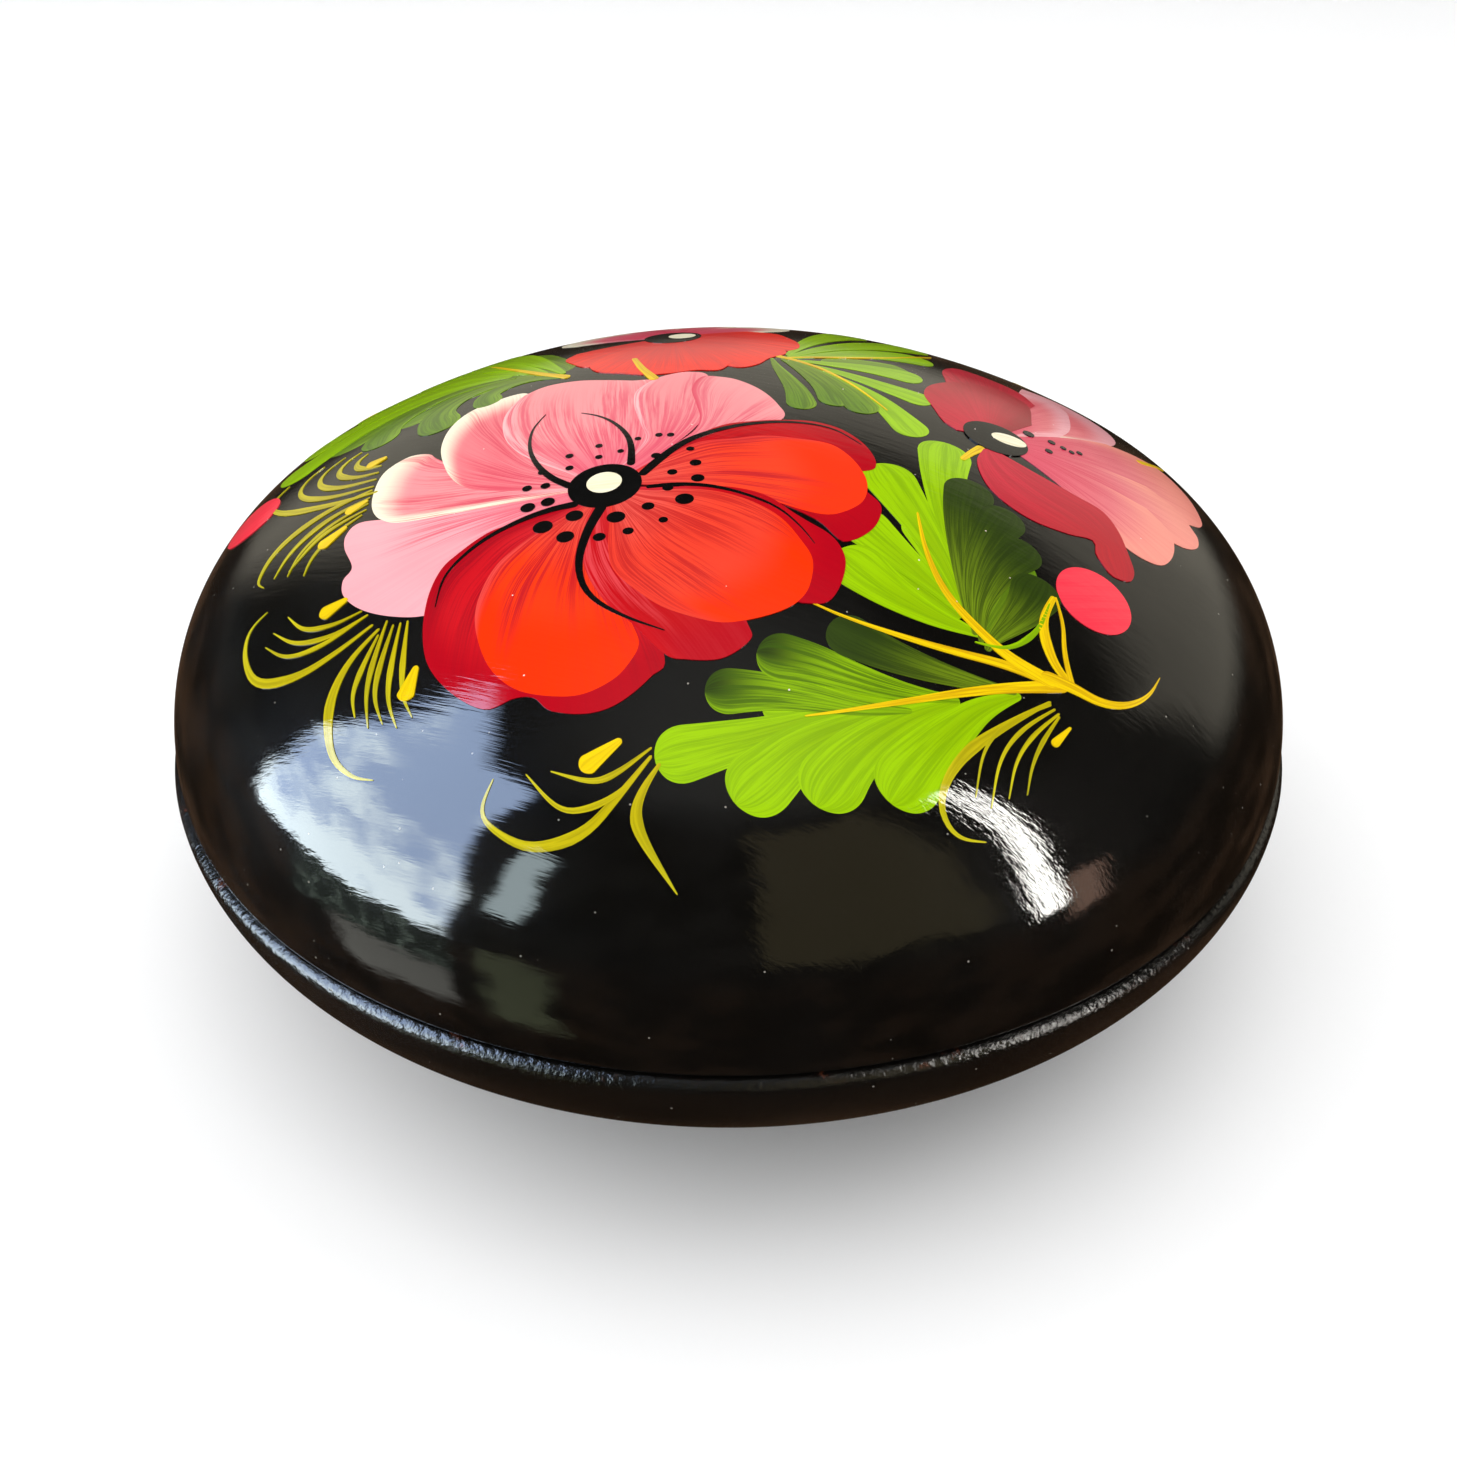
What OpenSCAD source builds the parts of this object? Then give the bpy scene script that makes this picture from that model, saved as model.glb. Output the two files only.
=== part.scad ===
// Turned wooden box with a lift-off domed lid, black lacquer and hand-painted flowers.
// Both halves are turned on a lathe about Z. The base stands on its flat foot at Z = 0
// and Y points away from the side that the main flower faces.
// Flower and leaf places are given on the lid as if its skin were laid flat: millimetres
// from the top of the dome, measured along the surface.

/* [Outside] */
// Radius of the lid at its rim
lid_r = 85; // [70:1:110]
// Height of the dome above the seam
dome_h = 47; // [42:1:52]
// Radius of the curve that turns the dome down to the rim
lid_corner_r = 33; // [28:1:38]
// How far the base stands proud of the lid all round
base_proud = 1; // [0.5:0.5:3]
// Height of the seam above the foot
seam_z = 38; // [32:1:46]
// Radius of the curve under the shoulder of the base
base_corner_r = 16.5; // [12:0.5:20]
// Rounding of the shoulder's upper edge
shoulder_round = 1.5; // [1:0.1:2.5]
// How far the curve of the base would run on below the foot
foot_cut = 4; // [2:0.5:6]

/* [Inside] */
// Thickness at the top of the dome
dome_t = 7; // [5:0.5:9]
// Thickness of the lid's side above the rebate
lid_wall = 9.5; // [9:0.1:10.5]
// Thickness of the floor of the bowl
floor_t = 6; // [4:0.5:9]
// Inner radius of the mouth of the bowl
mouth_r = 73.5; // [60:0.5:74]
// Radius of the curve between the floor and the side of the bowl
bowl_corner_r = 14; // [8:1:18]
// Distance from the seam down to where that curve starts
bowl_corner_drop = 5; // [2:1:8]

/* [Spigot] */
// Thickness of the raised ring that centres the lid
spigot_t = 3.7; // [2.5:0.1:3.8]
// Height of that ring above the seam
spigot_h = 5; // [3:0.5:8]
// Gap all round between the lid and the base
gap = 0.3; // [0.2:0.05:0.4]
// Rounding of the ring's upper outer edge
spigot_round = 0.8; // [0.4:0.1:1.2]

/* [Painting] */
// Thickness of a film of paint
paint_t = 0.2; // [0.1:0.05:0.4]
// Radius of the main flower
flower_r = 37; // [30:1:38]
// Radius of the dark eye of each flower
eye_r = 5; // [3:0.5:6]
// Radius of the pale dot in the eye
pip_r = 2.4; // [1.5:0.1:2.8]
// Radius of a round bud
bud_r = 5; // [3:0.5:6]
// Widest part of a painted stem
stem_w = 1.4; // [1:0.1:2]
// Widest part of a fine spray stroke
hair_w = 0.9; // [0.6:0.1:1.2]

/* [Hidden] */
$fn = 72;
big = 400;
base_r = lid_r + base_proud;
// Dome: a sphere that runs tangent into the corner circle.
corner_x = lid_r - lid_corner_r;
dome_r = cap_r(corner_x, dome_h, lid_corner_r);
dome_z = dome_h - dome_r;
tangent_a = atan2(-dome_z, corner_x);
flat_s = dome_r * (90 - tangent_a) * PI / 180;
// Inside of the lid.
inner_corner_r = lid_corner_r - lid_wall;
inner_dome_h = dome_h - dome_t;
inner_dome_r = cap_r(corner_x, inner_dome_h, inner_corner_r);
// Outside of the base, measured down from the centre of its shoulder curve.
shoulder_z = seam_z - shoulder_round;
belly_x = base_r - base_corner_r;
belly_h = shoulder_z + foot_cut;
belly_r = cap_r(belly_x, belly_h, base_corner_r);
// Inside of the base.
bowl_z = seam_z - bowl_corner_drop;
bowl_x = mouth_r - bowl_corner_r;
bowl_h = bowl_z - floor_t;
bowl_r = cap_r(bowl_x, bowl_h, bowl_corner_r);
spigot_r = mouth_r + spigot_t;

// Flower places on the flattened skin of the lid.
main_c = [-16.5, -24.5];
side_c = [39.5, -5];
back_c = [-8, 36];
twig_c = [42, -53];

// Radius of the sphere whose cap of height h runs tangent into a circle of radius r at x.
function cap_r(x, h, r) = (h * h + x * x - r * r) / (2 * (h - r));

// Plan position of a point given on the flattened skin.
function skin_r(s) = s < flat_s
    ? dome_r * sin(s / dome_r * 180 / PI)
    : corner_x + lid_corner_r * cos(tangent_a - (s - flat_s) / lid_corner_r * 180 / PI);
function plan(p) = norm(p) == 0 ? p : p * skin_r(norm(p)) / norm(p);
function turn(l, a) = [l * cos(a), l * sin(a)];
function bend(p, q, r, t) = p * pow(1 - t, 2) + q * 2 * t * (1 - t) + r * t * t;

// A petal that opens as a fan from c towards angle a, with a scalloped outer edge.
function fan(c, a, half, r, lobes) = [
    c,
    for (i = [-9:9])
        let (x = i / 9, edge = 1 - 0.3 * pow(abs(x), 4) + 0.025 * cos(x * lobes * 180))
            c + turn(r * edge, a + x * half)
];

// A rounded lobe from p to q, w wide.
function lobe(p, q, w) =
    let (d = q - p, n = [-d.y, d.x] / norm(d))
    concat(
        [for (i = [0:8]) p + d * i / 8 + n * w / 2 * sin(180 * pow(i / 8, 1.5))],
        [for (i = [7:-1:1]) p + d * i / 8 - n * w / 2 * sin(180 * pow(i / 8, 1.5))]
    );

// A stroke from p to r that leans towards q, widest a third of the way along.
function stroke(p, q, r, w) = concat(
    [for (i = [0:8]) bend(p, q, r, i / 8) + side(p, q, r, i / 8) * w / 2 * swell(i / 8)],
    [for (i = [7:-1:1]) bend(p, q, r, i / 8) - side(p, q, r, i / 8) * w / 2 * swell(i / 8)]
);
function side(p, q, r, t) =
    let (d = (q - p) * (1 - t) + (r - q) * t) [-d.y, d.x] / norm(d);
function swell(t) = 0.12 + 0.88 * sin(180 * pow(t, 0.7));

module blot(points) polygon([for (p = points) plan(p)]);

// A film of paint on the dome, cut to the outlines that it is given.
module film() {
    translate([0, 0, seam_z])
        intersection() {
            rotate_extrude()
                difference() {
                    dome_section(paint_t);
                    dome_section(0);
                }
            linear_extrude(height = dome_h + 2) children();
        }
}

// Half section of a dome with its rim at Z = 0, grown outwards by g.
module dome_section(g) {
    intersection() {
        union() {
            intersection() {
                translate([0, dome_z]) circle(r = dome_r + g);
                polygon([[0, dome_z], [0, dome_z] + turn(big, tangent_a), [0, big]]);
            }
            translate([corner_x, 0]) circle(r = lid_corner_r + g);
        }
        square([big, big]);
    }
}

module base() {
    color([0.03, 0.025, 0.02])
        rotate_extrude()
            difference() {
                union() {
                    base_outside();
                    spigot();
                }
                base_inside();
            }
}

module base_outside() {
    intersection() {
        union() {
            intersection() {
                translate([0, belly_r - foot_cut]) circle(r = belly_r);
                polygon([
                    [0, belly_r - foot_cut],
                    [0, -big],
                    [0, belly_r - foot_cut]
                        + (big / norm([belly_x, shoulder_z + foot_cut - belly_r]))
                        * [belly_x, shoulder_z + foot_cut - belly_r]
                ]);
            }
            translate([belly_x, shoulder_z]) circle(r = base_corner_r);
            translate([0, shoulder_z]) square([belly_x, shoulder_round]);
        }
        union() {
            square([base_r + 1, shoulder_z]);
            translate([0, shoulder_z]) square([base_r - shoulder_round, shoulder_round]);
            translate([base_r - shoulder_round, shoulder_z]) circle(r = shoulder_round);
        }
    }
}

module spigot() {
    translate([mouth_r, seam_z - 1])
        square([spigot_t, spigot_h + 1 - spigot_round]);
    translate([mouth_r, seam_z])
        square([spigot_t - spigot_round, spigot_h]);
    translate([spigot_r - spigot_round, seam_z + spigot_h - spigot_round])
        circle(r = spigot_round);
}

module base_inside() {
    intersection() {
        union() {
            intersection() {
                translate([0, floor_t + bowl_r]) circle(r = bowl_r);
                polygon([
                    [0, floor_t + bowl_r],
                    [0, -big],
                    [0, floor_t + bowl_r]
                        + (big / norm([bowl_x, bowl_z - floor_t - bowl_r]))
                        * [bowl_x, bowl_z - floor_t - bowl_r]
                ]);
            }
            translate([bowl_x, bowl_z]) circle(r = bowl_corner_r);
            translate([0, bowl_z]) square([mouth_r, big]);
        }
        square([big, big]);
    }
}

module lid() {
    color([0.03, 0.025, 0.02])
        translate([0, 0, seam_z])
            rotate_extrude()
                difference() {
                    intersection() {
                        dome_section(0);
                        translate([0, gap]) square([big, big]);
                    }
                    lid_inside();
                    square([spigot_r + gap, spigot_h + 2 * gap]);
                }
}

module lid_inside() {
    intersection() {
        union() {
            intersection() {
                translate([0, inner_dome_h - inner_dome_r]) circle(r = inner_dome_r);
                polygon([
                    [0, inner_dome_h - inner_dome_r],
                    [0, inner_dome_h - inner_dome_r]
                        + (big / norm([corner_x, inner_dome_r - inner_dome_h]))
                        * [corner_x, inner_dome_r - inner_dome_h],
                    [0, big]
                ]);
            }
            translate([corner_x, 0]) circle(r = inner_corner_r);
        }
        square([big, big]);
    }
}

// Outlines of the main flower: [angle, half width in degrees, share of the radius, lobes].
pink_fans = [[203, 26, 1, 3], [157, 16, 1, 2], [130, 20, 1.02, 2], [101, 19, 1, 2], [59, 27, 0.92, 4]];
red_fans = [[24, 24, 0.94, 3], [-7, 18, 1, 2], [-37, 18, 0.98, 3], [-67, 17, 0.94, 2], [-111, 38, 1.02, 5]];
orange_fans = [[22, 17, 0.78], [-9, 12, 0.84], [-37, 20, 0.86], [-110, 30, 0.82]];

module main_pink_shape() {
    for (f = pink_fans) blot(fan(main_c, f[0], f[1], flower_r * f[2], f[3]));
}

module main_red_shape() {
    for (f = red_fans) blot(fan(main_c, f[0], f[1], flower_r * f[2], f[3]));
}

module main_orange_shape() {
    for (f = orange_fans)
        blot(fan(main_c + turn(eye_r, f[0]), f[0], f[1], flower_r * f[2] - eye_r, 3));
}

// The side flower is seen from its side: pink petals open to one side of the eye.
module side_pink_shape() {
    for (a = [-38, -14, 12, 38]) blot(fan(side_c, a, 17, 34, 2));
}

module side_red_shape() {
    blot(lobe(side_c + [-3, 3], side_c + [1, 30], 20));
    blot(lobe(side_c + [-2, -3], side_c + [14, -26], 17));
}

// The back flower: crimson petals towards the main flower, pink ones behind them.
module back_pink_shape() {
    for (a = [42, 75, 108, 141]) blot(fan(back_c, a, 19, 25, 2));
}

module back_red_shape() {
    for (a = [188, 222, 256, 290, 324, 358]) blot(fan(back_c, a, 20, 25, 2));
}

module eyes_shape() {
    for (c = [main_c, side_c, back_c]) translate(plan(c)) circle(r = eye_r);
}

module pips_shape() {
    for (c = [main_c, side_c + [1, 0.5], back_c]) translate(plan(c)) circle(r = pip_r);
}

// Half of a leaf: a scalloped edge on one side of a straight rib. s = 1 is the side to the
// left of someone walking from the root to the tip, s = -1 the right side.
module half_leaf(root, tip, w, s, lobes) {
    d = tip - root;
    n = s * [-d.y, d.x] / norm(d);
    blot([
        for (i = [0:24])
            let (t = i / 24, scallop = 0.78 + 0.22 * abs(sin(180 * lobes * t)))
                root + d * t + n * w * sin(180 * pow(t, 0.9)) * scallop
    ]);
}

// Leaves: [root, tip, width of the light half, its side, width of the dark half].
leaves = [
    [[39, -54], [-8, -67], 13, 1, 10],
    [[39, -51], [30, -11], 16, 1, 9],
    [[-22, 20], [-70, 9], 13, -1, 8],
    [[5, 18], [27, -7], 12, 1, 8],
    [[17, 44], [52, 44], 11, 1, 9],
    [[-33, 44], [-62, 34], 11, -1, 8]
];

module light_leaf_shape() {
    for (l = leaves) half_leaf(l[0], l[1], l[2], l[3], 4);
}

module dark_leaf_shape() {
    for (l = leaves) half_leaf(l[0], l[1], l[4], -l[3], 3);
}

module stems_shape() {
    blot(stroke(twig_c, twig_c + [-2, 8], [42, -42], stem_w));
    blot(stroke(twig_c, twig_c + [11, -4], [58, -45], stem_w));
    blot(stroke(twig_c, twig_c + [-2, 0], [36, -53], stem_w));
    blot(stroke(twig_c, twig_c + [-2, 1], [38, -48], stem_w));
    blot(stroke([-61, 34], [-68, 36], [-69, 44], stem_w));
    blot(stroke([52, 48], [60, 48], [66, 40], stem_w));
}

// A spray: a fan of fine curling strokes from c towards angle a, each turning by curl degrees.
module spray(c, a, l, curl) {
    for (i = [0:4])
        blot(stroke(
            c + turn(i * 0.7, a + 90 * sign(curl)),
            c + turn(l * (0.6 - 0.07 * i), a + curl * 0.15 * i),
            c + turn(l * (1.05 - 0.13 * i), a + curl * (0.75 + 0.1 * i)),
            hair_w * (1.5 - 0.15 * i)
        ));
}

module sprays_shape() {
    spray([-10, -68], 200, 24, 44);
    spray([40, -59], 216, 22, 40);
    spray([-43, -45], 225, 22, 40);
    spray([-50, -40], 192, 20, 44);
    spray([-56, -16], 200, 18, 40);
    spray([-22, 64], 110, 14, 40);
    spray([6, 64], 60, 14, 40);
}

module buds_shape() {
    for (p = [[49.5, -38], [-76, -3], [-62, 50]])
        blot([for (a = [0:15:345]) p + turn(bud_r, a)]);
}

module main_pink_petals() {
    color([0.94, 0.52, 0.6])
        film() difference() {
            main_pink_shape();
            main_red_shape();
            eyes_shape();
        }
}

module main_crimson_petals() {
    color([0.7, 0.03, 0.12])
        film() difference() {
            main_red_shape();
            main_orange_shape();
            eyes_shape();
        }
}

module main_orange_petals() {
    color([0.93, 0.2, 0.06])
        film() difference() {
            main_orange_shape();
            eyes_shape();
        }
}

module side_pink_petals() {
    color([0.94, 0.52, 0.6])
        film() difference() {
            side_pink_shape();
            side_red_shape();
            eyes_shape();
        }
}

module side_crimson_petals() {
    color([0.62, 0.06, 0.14])
        film() difference() {
            side_red_shape();
            eyes_shape();
        }
}

module back_pink_petals() {
    color([0.94, 0.52, 0.6])
        film() difference() {
            back_pink_shape();
            back_red_shape();
            eyes_shape();
        }
}

module back_crimson_petals() {
    color([0.75, 0.08, 0.1])
        film() difference() {
            back_red_shape();
            main_pink_shape();
            eyes_shape();
        }
}

module flower_eyes() {
    color([0.01, 0.01, 0.01])
        film() difference() {
            eyes_shape();
            pips_shape();
        }
}

module flower_pips() {
    color([0.96, 0.94, 0.84]) film() pips_shape();
}

// Everything that is painted over the leaves.
module flowers_shape() {
    main_pink_shape();
    main_red_shape();
    side_pink_shape();
    side_red_shape();
    back_pink_shape();
    back_red_shape();
    eyes_shape();
}

module light_leaves() {
    color([0.47, 0.78, 0.05])
        film() difference() {
            light_leaf_shape();
            flowers_shape();
        }
}

module dark_leaves() {
    color([0.12, 0.26, 0.06])
        film() difference() {
            dark_leaf_shape();
            flowers_shape();
        }
}

module yellow_stems() {
    color([0.86, 0.78, 0.08])
        film() difference() {
            stems_shape();
            light_leaf_shape();
            dark_leaf_shape();
        }
}

module yellow_sprays() {
    color([0.86, 0.78, 0.08])
        film() difference() {
            sprays_shape();
            flowers_shape();
            light_leaf_shape();
            dark_leaf_shape();
        }
}

module coral_buds() {
    color([0.98, 0.25, 0.36]) film() buds_shape();
}

base();
lid();
main_pink_petals();
main_crimson_petals();
main_orange_petals();
side_pink_petals();
side_crimson_petals();
back_pink_petals();
back_crimson_petals();
flower_eyes();
flower_pips();
light_leaves();
dark_leaves();
yellow_stems();
yellow_sprays();
coral_buds();
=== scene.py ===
import math

import bpy
import numpy as np
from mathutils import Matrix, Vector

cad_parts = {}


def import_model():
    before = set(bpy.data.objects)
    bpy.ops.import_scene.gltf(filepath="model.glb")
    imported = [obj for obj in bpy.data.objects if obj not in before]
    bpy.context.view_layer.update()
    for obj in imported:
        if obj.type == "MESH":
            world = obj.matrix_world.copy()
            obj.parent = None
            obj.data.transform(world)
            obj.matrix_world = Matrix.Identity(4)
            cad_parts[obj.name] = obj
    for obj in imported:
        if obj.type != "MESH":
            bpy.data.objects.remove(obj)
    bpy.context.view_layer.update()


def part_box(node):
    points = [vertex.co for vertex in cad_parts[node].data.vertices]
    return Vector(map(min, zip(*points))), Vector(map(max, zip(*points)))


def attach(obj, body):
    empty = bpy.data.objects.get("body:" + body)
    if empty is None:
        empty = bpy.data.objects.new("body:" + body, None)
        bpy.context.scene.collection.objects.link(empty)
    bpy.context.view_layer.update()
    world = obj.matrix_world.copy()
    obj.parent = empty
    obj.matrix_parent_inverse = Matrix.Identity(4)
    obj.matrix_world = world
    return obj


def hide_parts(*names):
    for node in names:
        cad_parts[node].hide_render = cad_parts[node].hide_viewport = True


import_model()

MM = 0.001

# ---------------- turned shape, in millimetres
LID_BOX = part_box("lid")
BASE_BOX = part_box("base")
TOP_Z = round(LID_BOX[1].z / MM, 1)
LID_R = round(LID_BOX[1].x / MM, 1)
BASE_R = round(BASE_BOX[1].x / MM, 1)
# Outside: a domed lid over a base that curves in to its foot.
SEAM_Z = 38.0
DOME_H = TOP_Z - SEAM_Z
CORNER_R = 33.0
CORNER_X = LID_R - CORNER_R
RIM_ROUND = 0.7
SHOULDER_ROUND = 1.5
BASE_CORNER_R = 16.5
FOOT_CUT = 4.0
FOOT_ROUND = 0.4
FOOT_SET_IN = 0.6
# Inside: the walls, the bowl and the ring that centres the lid.
DOME_T = 7.0
LID_WALL = 9.5
FLOOR_T = 6.0
MOUTH_R = 73.5
MOUTH_ROUND = 0.5
BOWL_CORNER_R = 14.0
BOWL_CORNER_DROP = 5.0
SPIGOT_R = 77.2
SPIGOT_H = 5.0
SPIGOT_ROUND = 0.8
REBATE_BEVEL = 0.3
GAP = 0.3
# Steps round the axis.
TURNS = 384


def cap_radius(x, h, r):
    """Radius of the sphere whose cap of height h runs tangent into a circle of radius r at x."""
    return (h * h + x * x - r * r) / (2 * (h - r))


DOME_R = cap_radius(CORNER_X, DOME_H, CORNER_R)
DOME_Z = DOME_H - DOME_R
TANGENT = math.atan2(-DOME_Z, CORNER_X)
FLAT_S = DOME_R * (math.pi / 2 - TANGENT)


def dome_point(s):
    """Radius, height above the seam and outward normal of the dome at skin distance s from its top."""
    s = np.asarray(s, float)
    cap = s / DOME_R
    corner = TANGENT - (s - FLAT_S) / CORNER_R
    on_cap = s < FLAT_S
    r = np.where(on_cap, DOME_R * np.sin(cap), CORNER_X + CORNER_R * np.cos(corner))
    z = np.where(on_cap, DOME_Z + DOME_R * np.cos(cap), CORNER_R * np.sin(corner))
    nr = np.where(on_cap, np.sin(cap), np.cos(corner))
    nz = np.where(on_cap, np.cos(cap), np.sin(corner))
    return r, z, nr, nz


def skin(u, v, lift):
    """Points in metres, lift mm above the dome, for places (u, v) mm on its flattened skin."""
    s = np.hypot(u, v)
    angle = np.arctan2(v, u)
    r, z, nr, nz = dome_point(s)
    r = r + lift * nr
    z = z + lift * nz + SEAM_Z
    return np.stack([r * np.cos(angle), r * np.sin(angle), z], -1) * MM


# ---------------- colours
def srgb(r, g, b):
    """Linear colour from 0 to 255 display values."""
    out = []
    for c in (r, g, b):
        c = c / 255
        out.append(c / 12.92 if c <= 0.04045 else ((c + 0.055) / 1.055) ** 2.4)
    return np.array(out)


LACQUER = srgb(7, 6, 5)
BLACK = srgb(8, 8, 8)
CREAM = srgb(250, 244, 216)
LIGHT_PINK = srgb(245, 176, 182)
PINK = srgb(236, 130, 142)
ROSE_PINK = srgb(232, 118, 132)
ROSE = srgb(220, 80, 104)
DEEP_PINK = srgb(212, 62, 88)
DEEP_ROSE = srgb(205, 45, 78)
DARK_CRIMSON = srgb(130, 8, 26)
LIME = srgb(154, 200, 0)
LEAF = srgb(124, 164, 4)
YELLOW = srgb(240, 204, 4)
CORAL = srgb(252, 62, 78)


# ---------------- mesh builders
# In mm: how far each patch lies above the one before it, and where all their undersides are.
LAYER_STEP = 0.0012
UNDERSIDE = -0.02
# How far apart the patches are in the noise that makes their streaks.
BRISTLE_SHIFT = 7.3
SHARP_EDGE = math.radians(35)


class Film:
    """Brush paint on the lid: thin closed patches that share one mesh."""

    def __init__(self):
        self.verts = []
        self.faces = []
        self.light = []
        self.dark = []
        self.bristle = []
        self.count = 0

    def patch(self, u, v, lift, light, dark, across, along):
        """A closed film over the grid (u, v), lift mm high, and each patch a little above the one before.
        light and dark are the streaks' two colours at each point, across and along the place in the
        stroke, in mm."""
        rows, cols = u.shape
        lift += LAYER_STEP * len(self.verts)
        top = skin(u, v, lift).reshape(-1, 3)
        low = skin(u, v, UNDERSIDE).reshape(-1, 3)
        n = rows * cols
        index = np.arange(n).reshape(rows, cols) + self.count
        a, b = index[:-1, :-1].ravel(), index[:-1, 1:].ravel()
        c, d = index[1:, 1:].ravel(), index[1:, :-1].ravel()
        quads = np.stack([a, b, c, d], -1)
        flip = np.cross(top[cols] - top[0], top[1] - top[0])[2] > 0
        quads = quads[:, ::-1] if flip else quads
        under = quads[:, ::-1] + n
        ring = np.concatenate([index[0, :-1], index[:-1, -1], index[-1, :0:-1], index[:0:-1, 0]])
        ring = ring[::-1] if flip else ring
        after = np.roll(ring, -1)
        walls = np.stack([after, ring, ring + n, after + n], -1)
        self.faces.append(np.concatenate([quads, under, walls]))
        self.verts.append(np.concatenate([top, low]))
        place = np.stack([across, along, np.full_like(across, len(self.verts) * BRISTLE_SHIFT)], -1)
        for store, value in ((self.light, light), (self.dark, dark), (self.bristle, place)):
            value = np.broadcast_to(value, (rows, cols, 3)).reshape(-1, 3)
            store.append(np.concatenate([value, value]))
        self.count += 2 * n

    def build(self, name, material):
        mesh = bpy.data.meshes.new(name)
        verts = np.concatenate(self.verts)
        faces = np.concatenate(self.faces)
        mesh.from_pydata(verts.tolist(), [], faces.tolist())
        for key, kind, field, values in (
            ("light", "FLOAT_COLOR", "color", self.light),
            ("dark", "FLOAT_COLOR", "color", self.dark),
            ("bristle", "FLOAT_VECTOR", "vector", self.bristle),
        ):
            values = np.concatenate(values)
            if field == "color":
                values = np.concatenate([values, np.ones((len(values), 1))], 1)
            layer = mesh.attributes.new(key, kind, "POINT")
            layer.data.foreach_set(field, values.astype(np.float32).ravel())
        return finish_mesh(name, mesh, material, "lid")


def show(name, mesh, material):
    """A mesh as an object in the scene."""
    mesh.materials.append(material)
    piece = bpy.data.objects.new(name, mesh)
    bpy.context.scene.collection.objects.link(piece)
    return piece


def finish_mesh(name, mesh, material, body):
    """A mesh as a smooth piece that rides on a body."""
    mesh.validate()
    mesh.shade_smooth()
    mesh.set_sharp_from_angle(angle=SHARP_EDGE)
    piece = show(name, mesh, material)
    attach(piece, body)
    return piece


def turned_mesh(name, profile, turns=TURNS):
    """A closed turned mesh from an outline of (radius, height) in mm whose ends lie on the axis."""
    profile = np.array(profile)
    ring = profile[1:-1]
    angle = np.arange(turns) * 2 * math.pi / turns
    x = ring[:, None, 0] * np.cos(angle)
    y = ring[:, None, 0] * np.sin(angle)
    z = np.repeat(ring[:, None, 1], turns, 1)
    verts = np.stack([x, y, z], -1).reshape(-1, 3)
    verts = np.concatenate([verts, [[0, 0, profile[0][1]], [0, 0, profile[-1][1]]]]) * MM
    index = np.arange(len(ring) * turns).reshape(len(ring), turns)
    after = np.roll(index, -1, 1)
    quads = np.stack([index[:-1], after[:-1], after[1:], index[1:]], -1).reshape(-1, 4).tolist()
    first, last = len(verts) - 2, len(verts) - 1
    quads += [[first, b, a] for a, b in zip(index[0].tolist(), after[0].tolist())]
    quads += [[last, a, b] for a, b in zip(index[-1].tolist(), after[-1].tolist())]
    mesh = bpy.data.meshes.new(name)
    mesh.from_pydata(verts.tolist(), [], [q[::-1] for q in quads])
    return mesh


def arc(cx, cz, r, start, end, n):
    """Points on a circle about (cx, cz) from one angle to another, in degrees."""
    return [
        (cx + r * math.cos(t), cz + r * math.sin(t))
        for t in np.radians(np.linspace(start, end, n))
    ]


def cap_arc(x, z, r, top, n):
    """The cap from the axis at height top to the circle of radius r at (x, z), and its end angle."""
    side = 1 if top > z else -1
    big = cap_radius(x, abs(top - z), r)
    centre = top - side * big
    end = math.degrees(math.atan2(z - centre, x))
    start = 90 * side
    return arc(0, centre, big, start, end, n), end


# ---------------- materials
def new_material(name):
    material = bpy.data.materials.new(name)
    material.use_nodes = True
    material.node_tree.nodes.clear()
    return material, material.node_tree


def feed(tree, socket, value):
    """Sets a socket, or links it where the value is another node's output."""
    if hasattr(value, "is_linked"):
        tree.links.new(value, socket)
    elif socket.type == "RGBA":
        socket.default_value = (*value, 1)
    else:
        socket.default_value = value


def add(tree, kind, **inputs):
    """A node with the given inputs; keys are socket names with _ for spaces."""
    node = tree.nodes.new(kind)
    for key, value in inputs.items():
        feed(tree, node.inputs[key.replace("_", " ")], value)
    return node


def math_node(tree, operation, a, b=0.0):
    node = tree.nodes.new("ShaderNodeMath")
    node.operation = operation
    feed(tree, node.inputs[0], a)
    feed(tree, node.inputs[1], b)
    return node.outputs[0]


def mix_colour(tree, factor, a, b):
    node = tree.nodes.new("ShaderNodeMix")
    node.data_type = "RGBA"
    for index, value in ((0, factor), (6, a), (7, b)):
        feed(tree, node.inputs[index], value)
    return node.outputs[2]


def ramp(tree, value, low, high):
    """0 below low, 1 above high, smooth between."""
    node = tree.nodes.new("ShaderNodeMapRange")
    node.interpolation_type = "SMOOTHSTEP"
    for index, setting in enumerate((value, low, high)):
        feed(tree, node.inputs[index], setting)
    return node.outputs[0]


def noise(tree, vector, scale, detail=3, roughness=0.5, stretch=(1, 1, 1)):
    place = add(tree, "ShaderNodeMapping", Vector=vector, Scale=stretch).outputs[0]
    node = add(tree, "ShaderNodeTexNoise", Vector=place, Scale=scale, Detail=detail, Roughness=roughness)
    return node.outputs[0]


def object_place(tree):
    return tree.nodes.new("ShaderNodeTexCoord").outputs["Object"]


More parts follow.
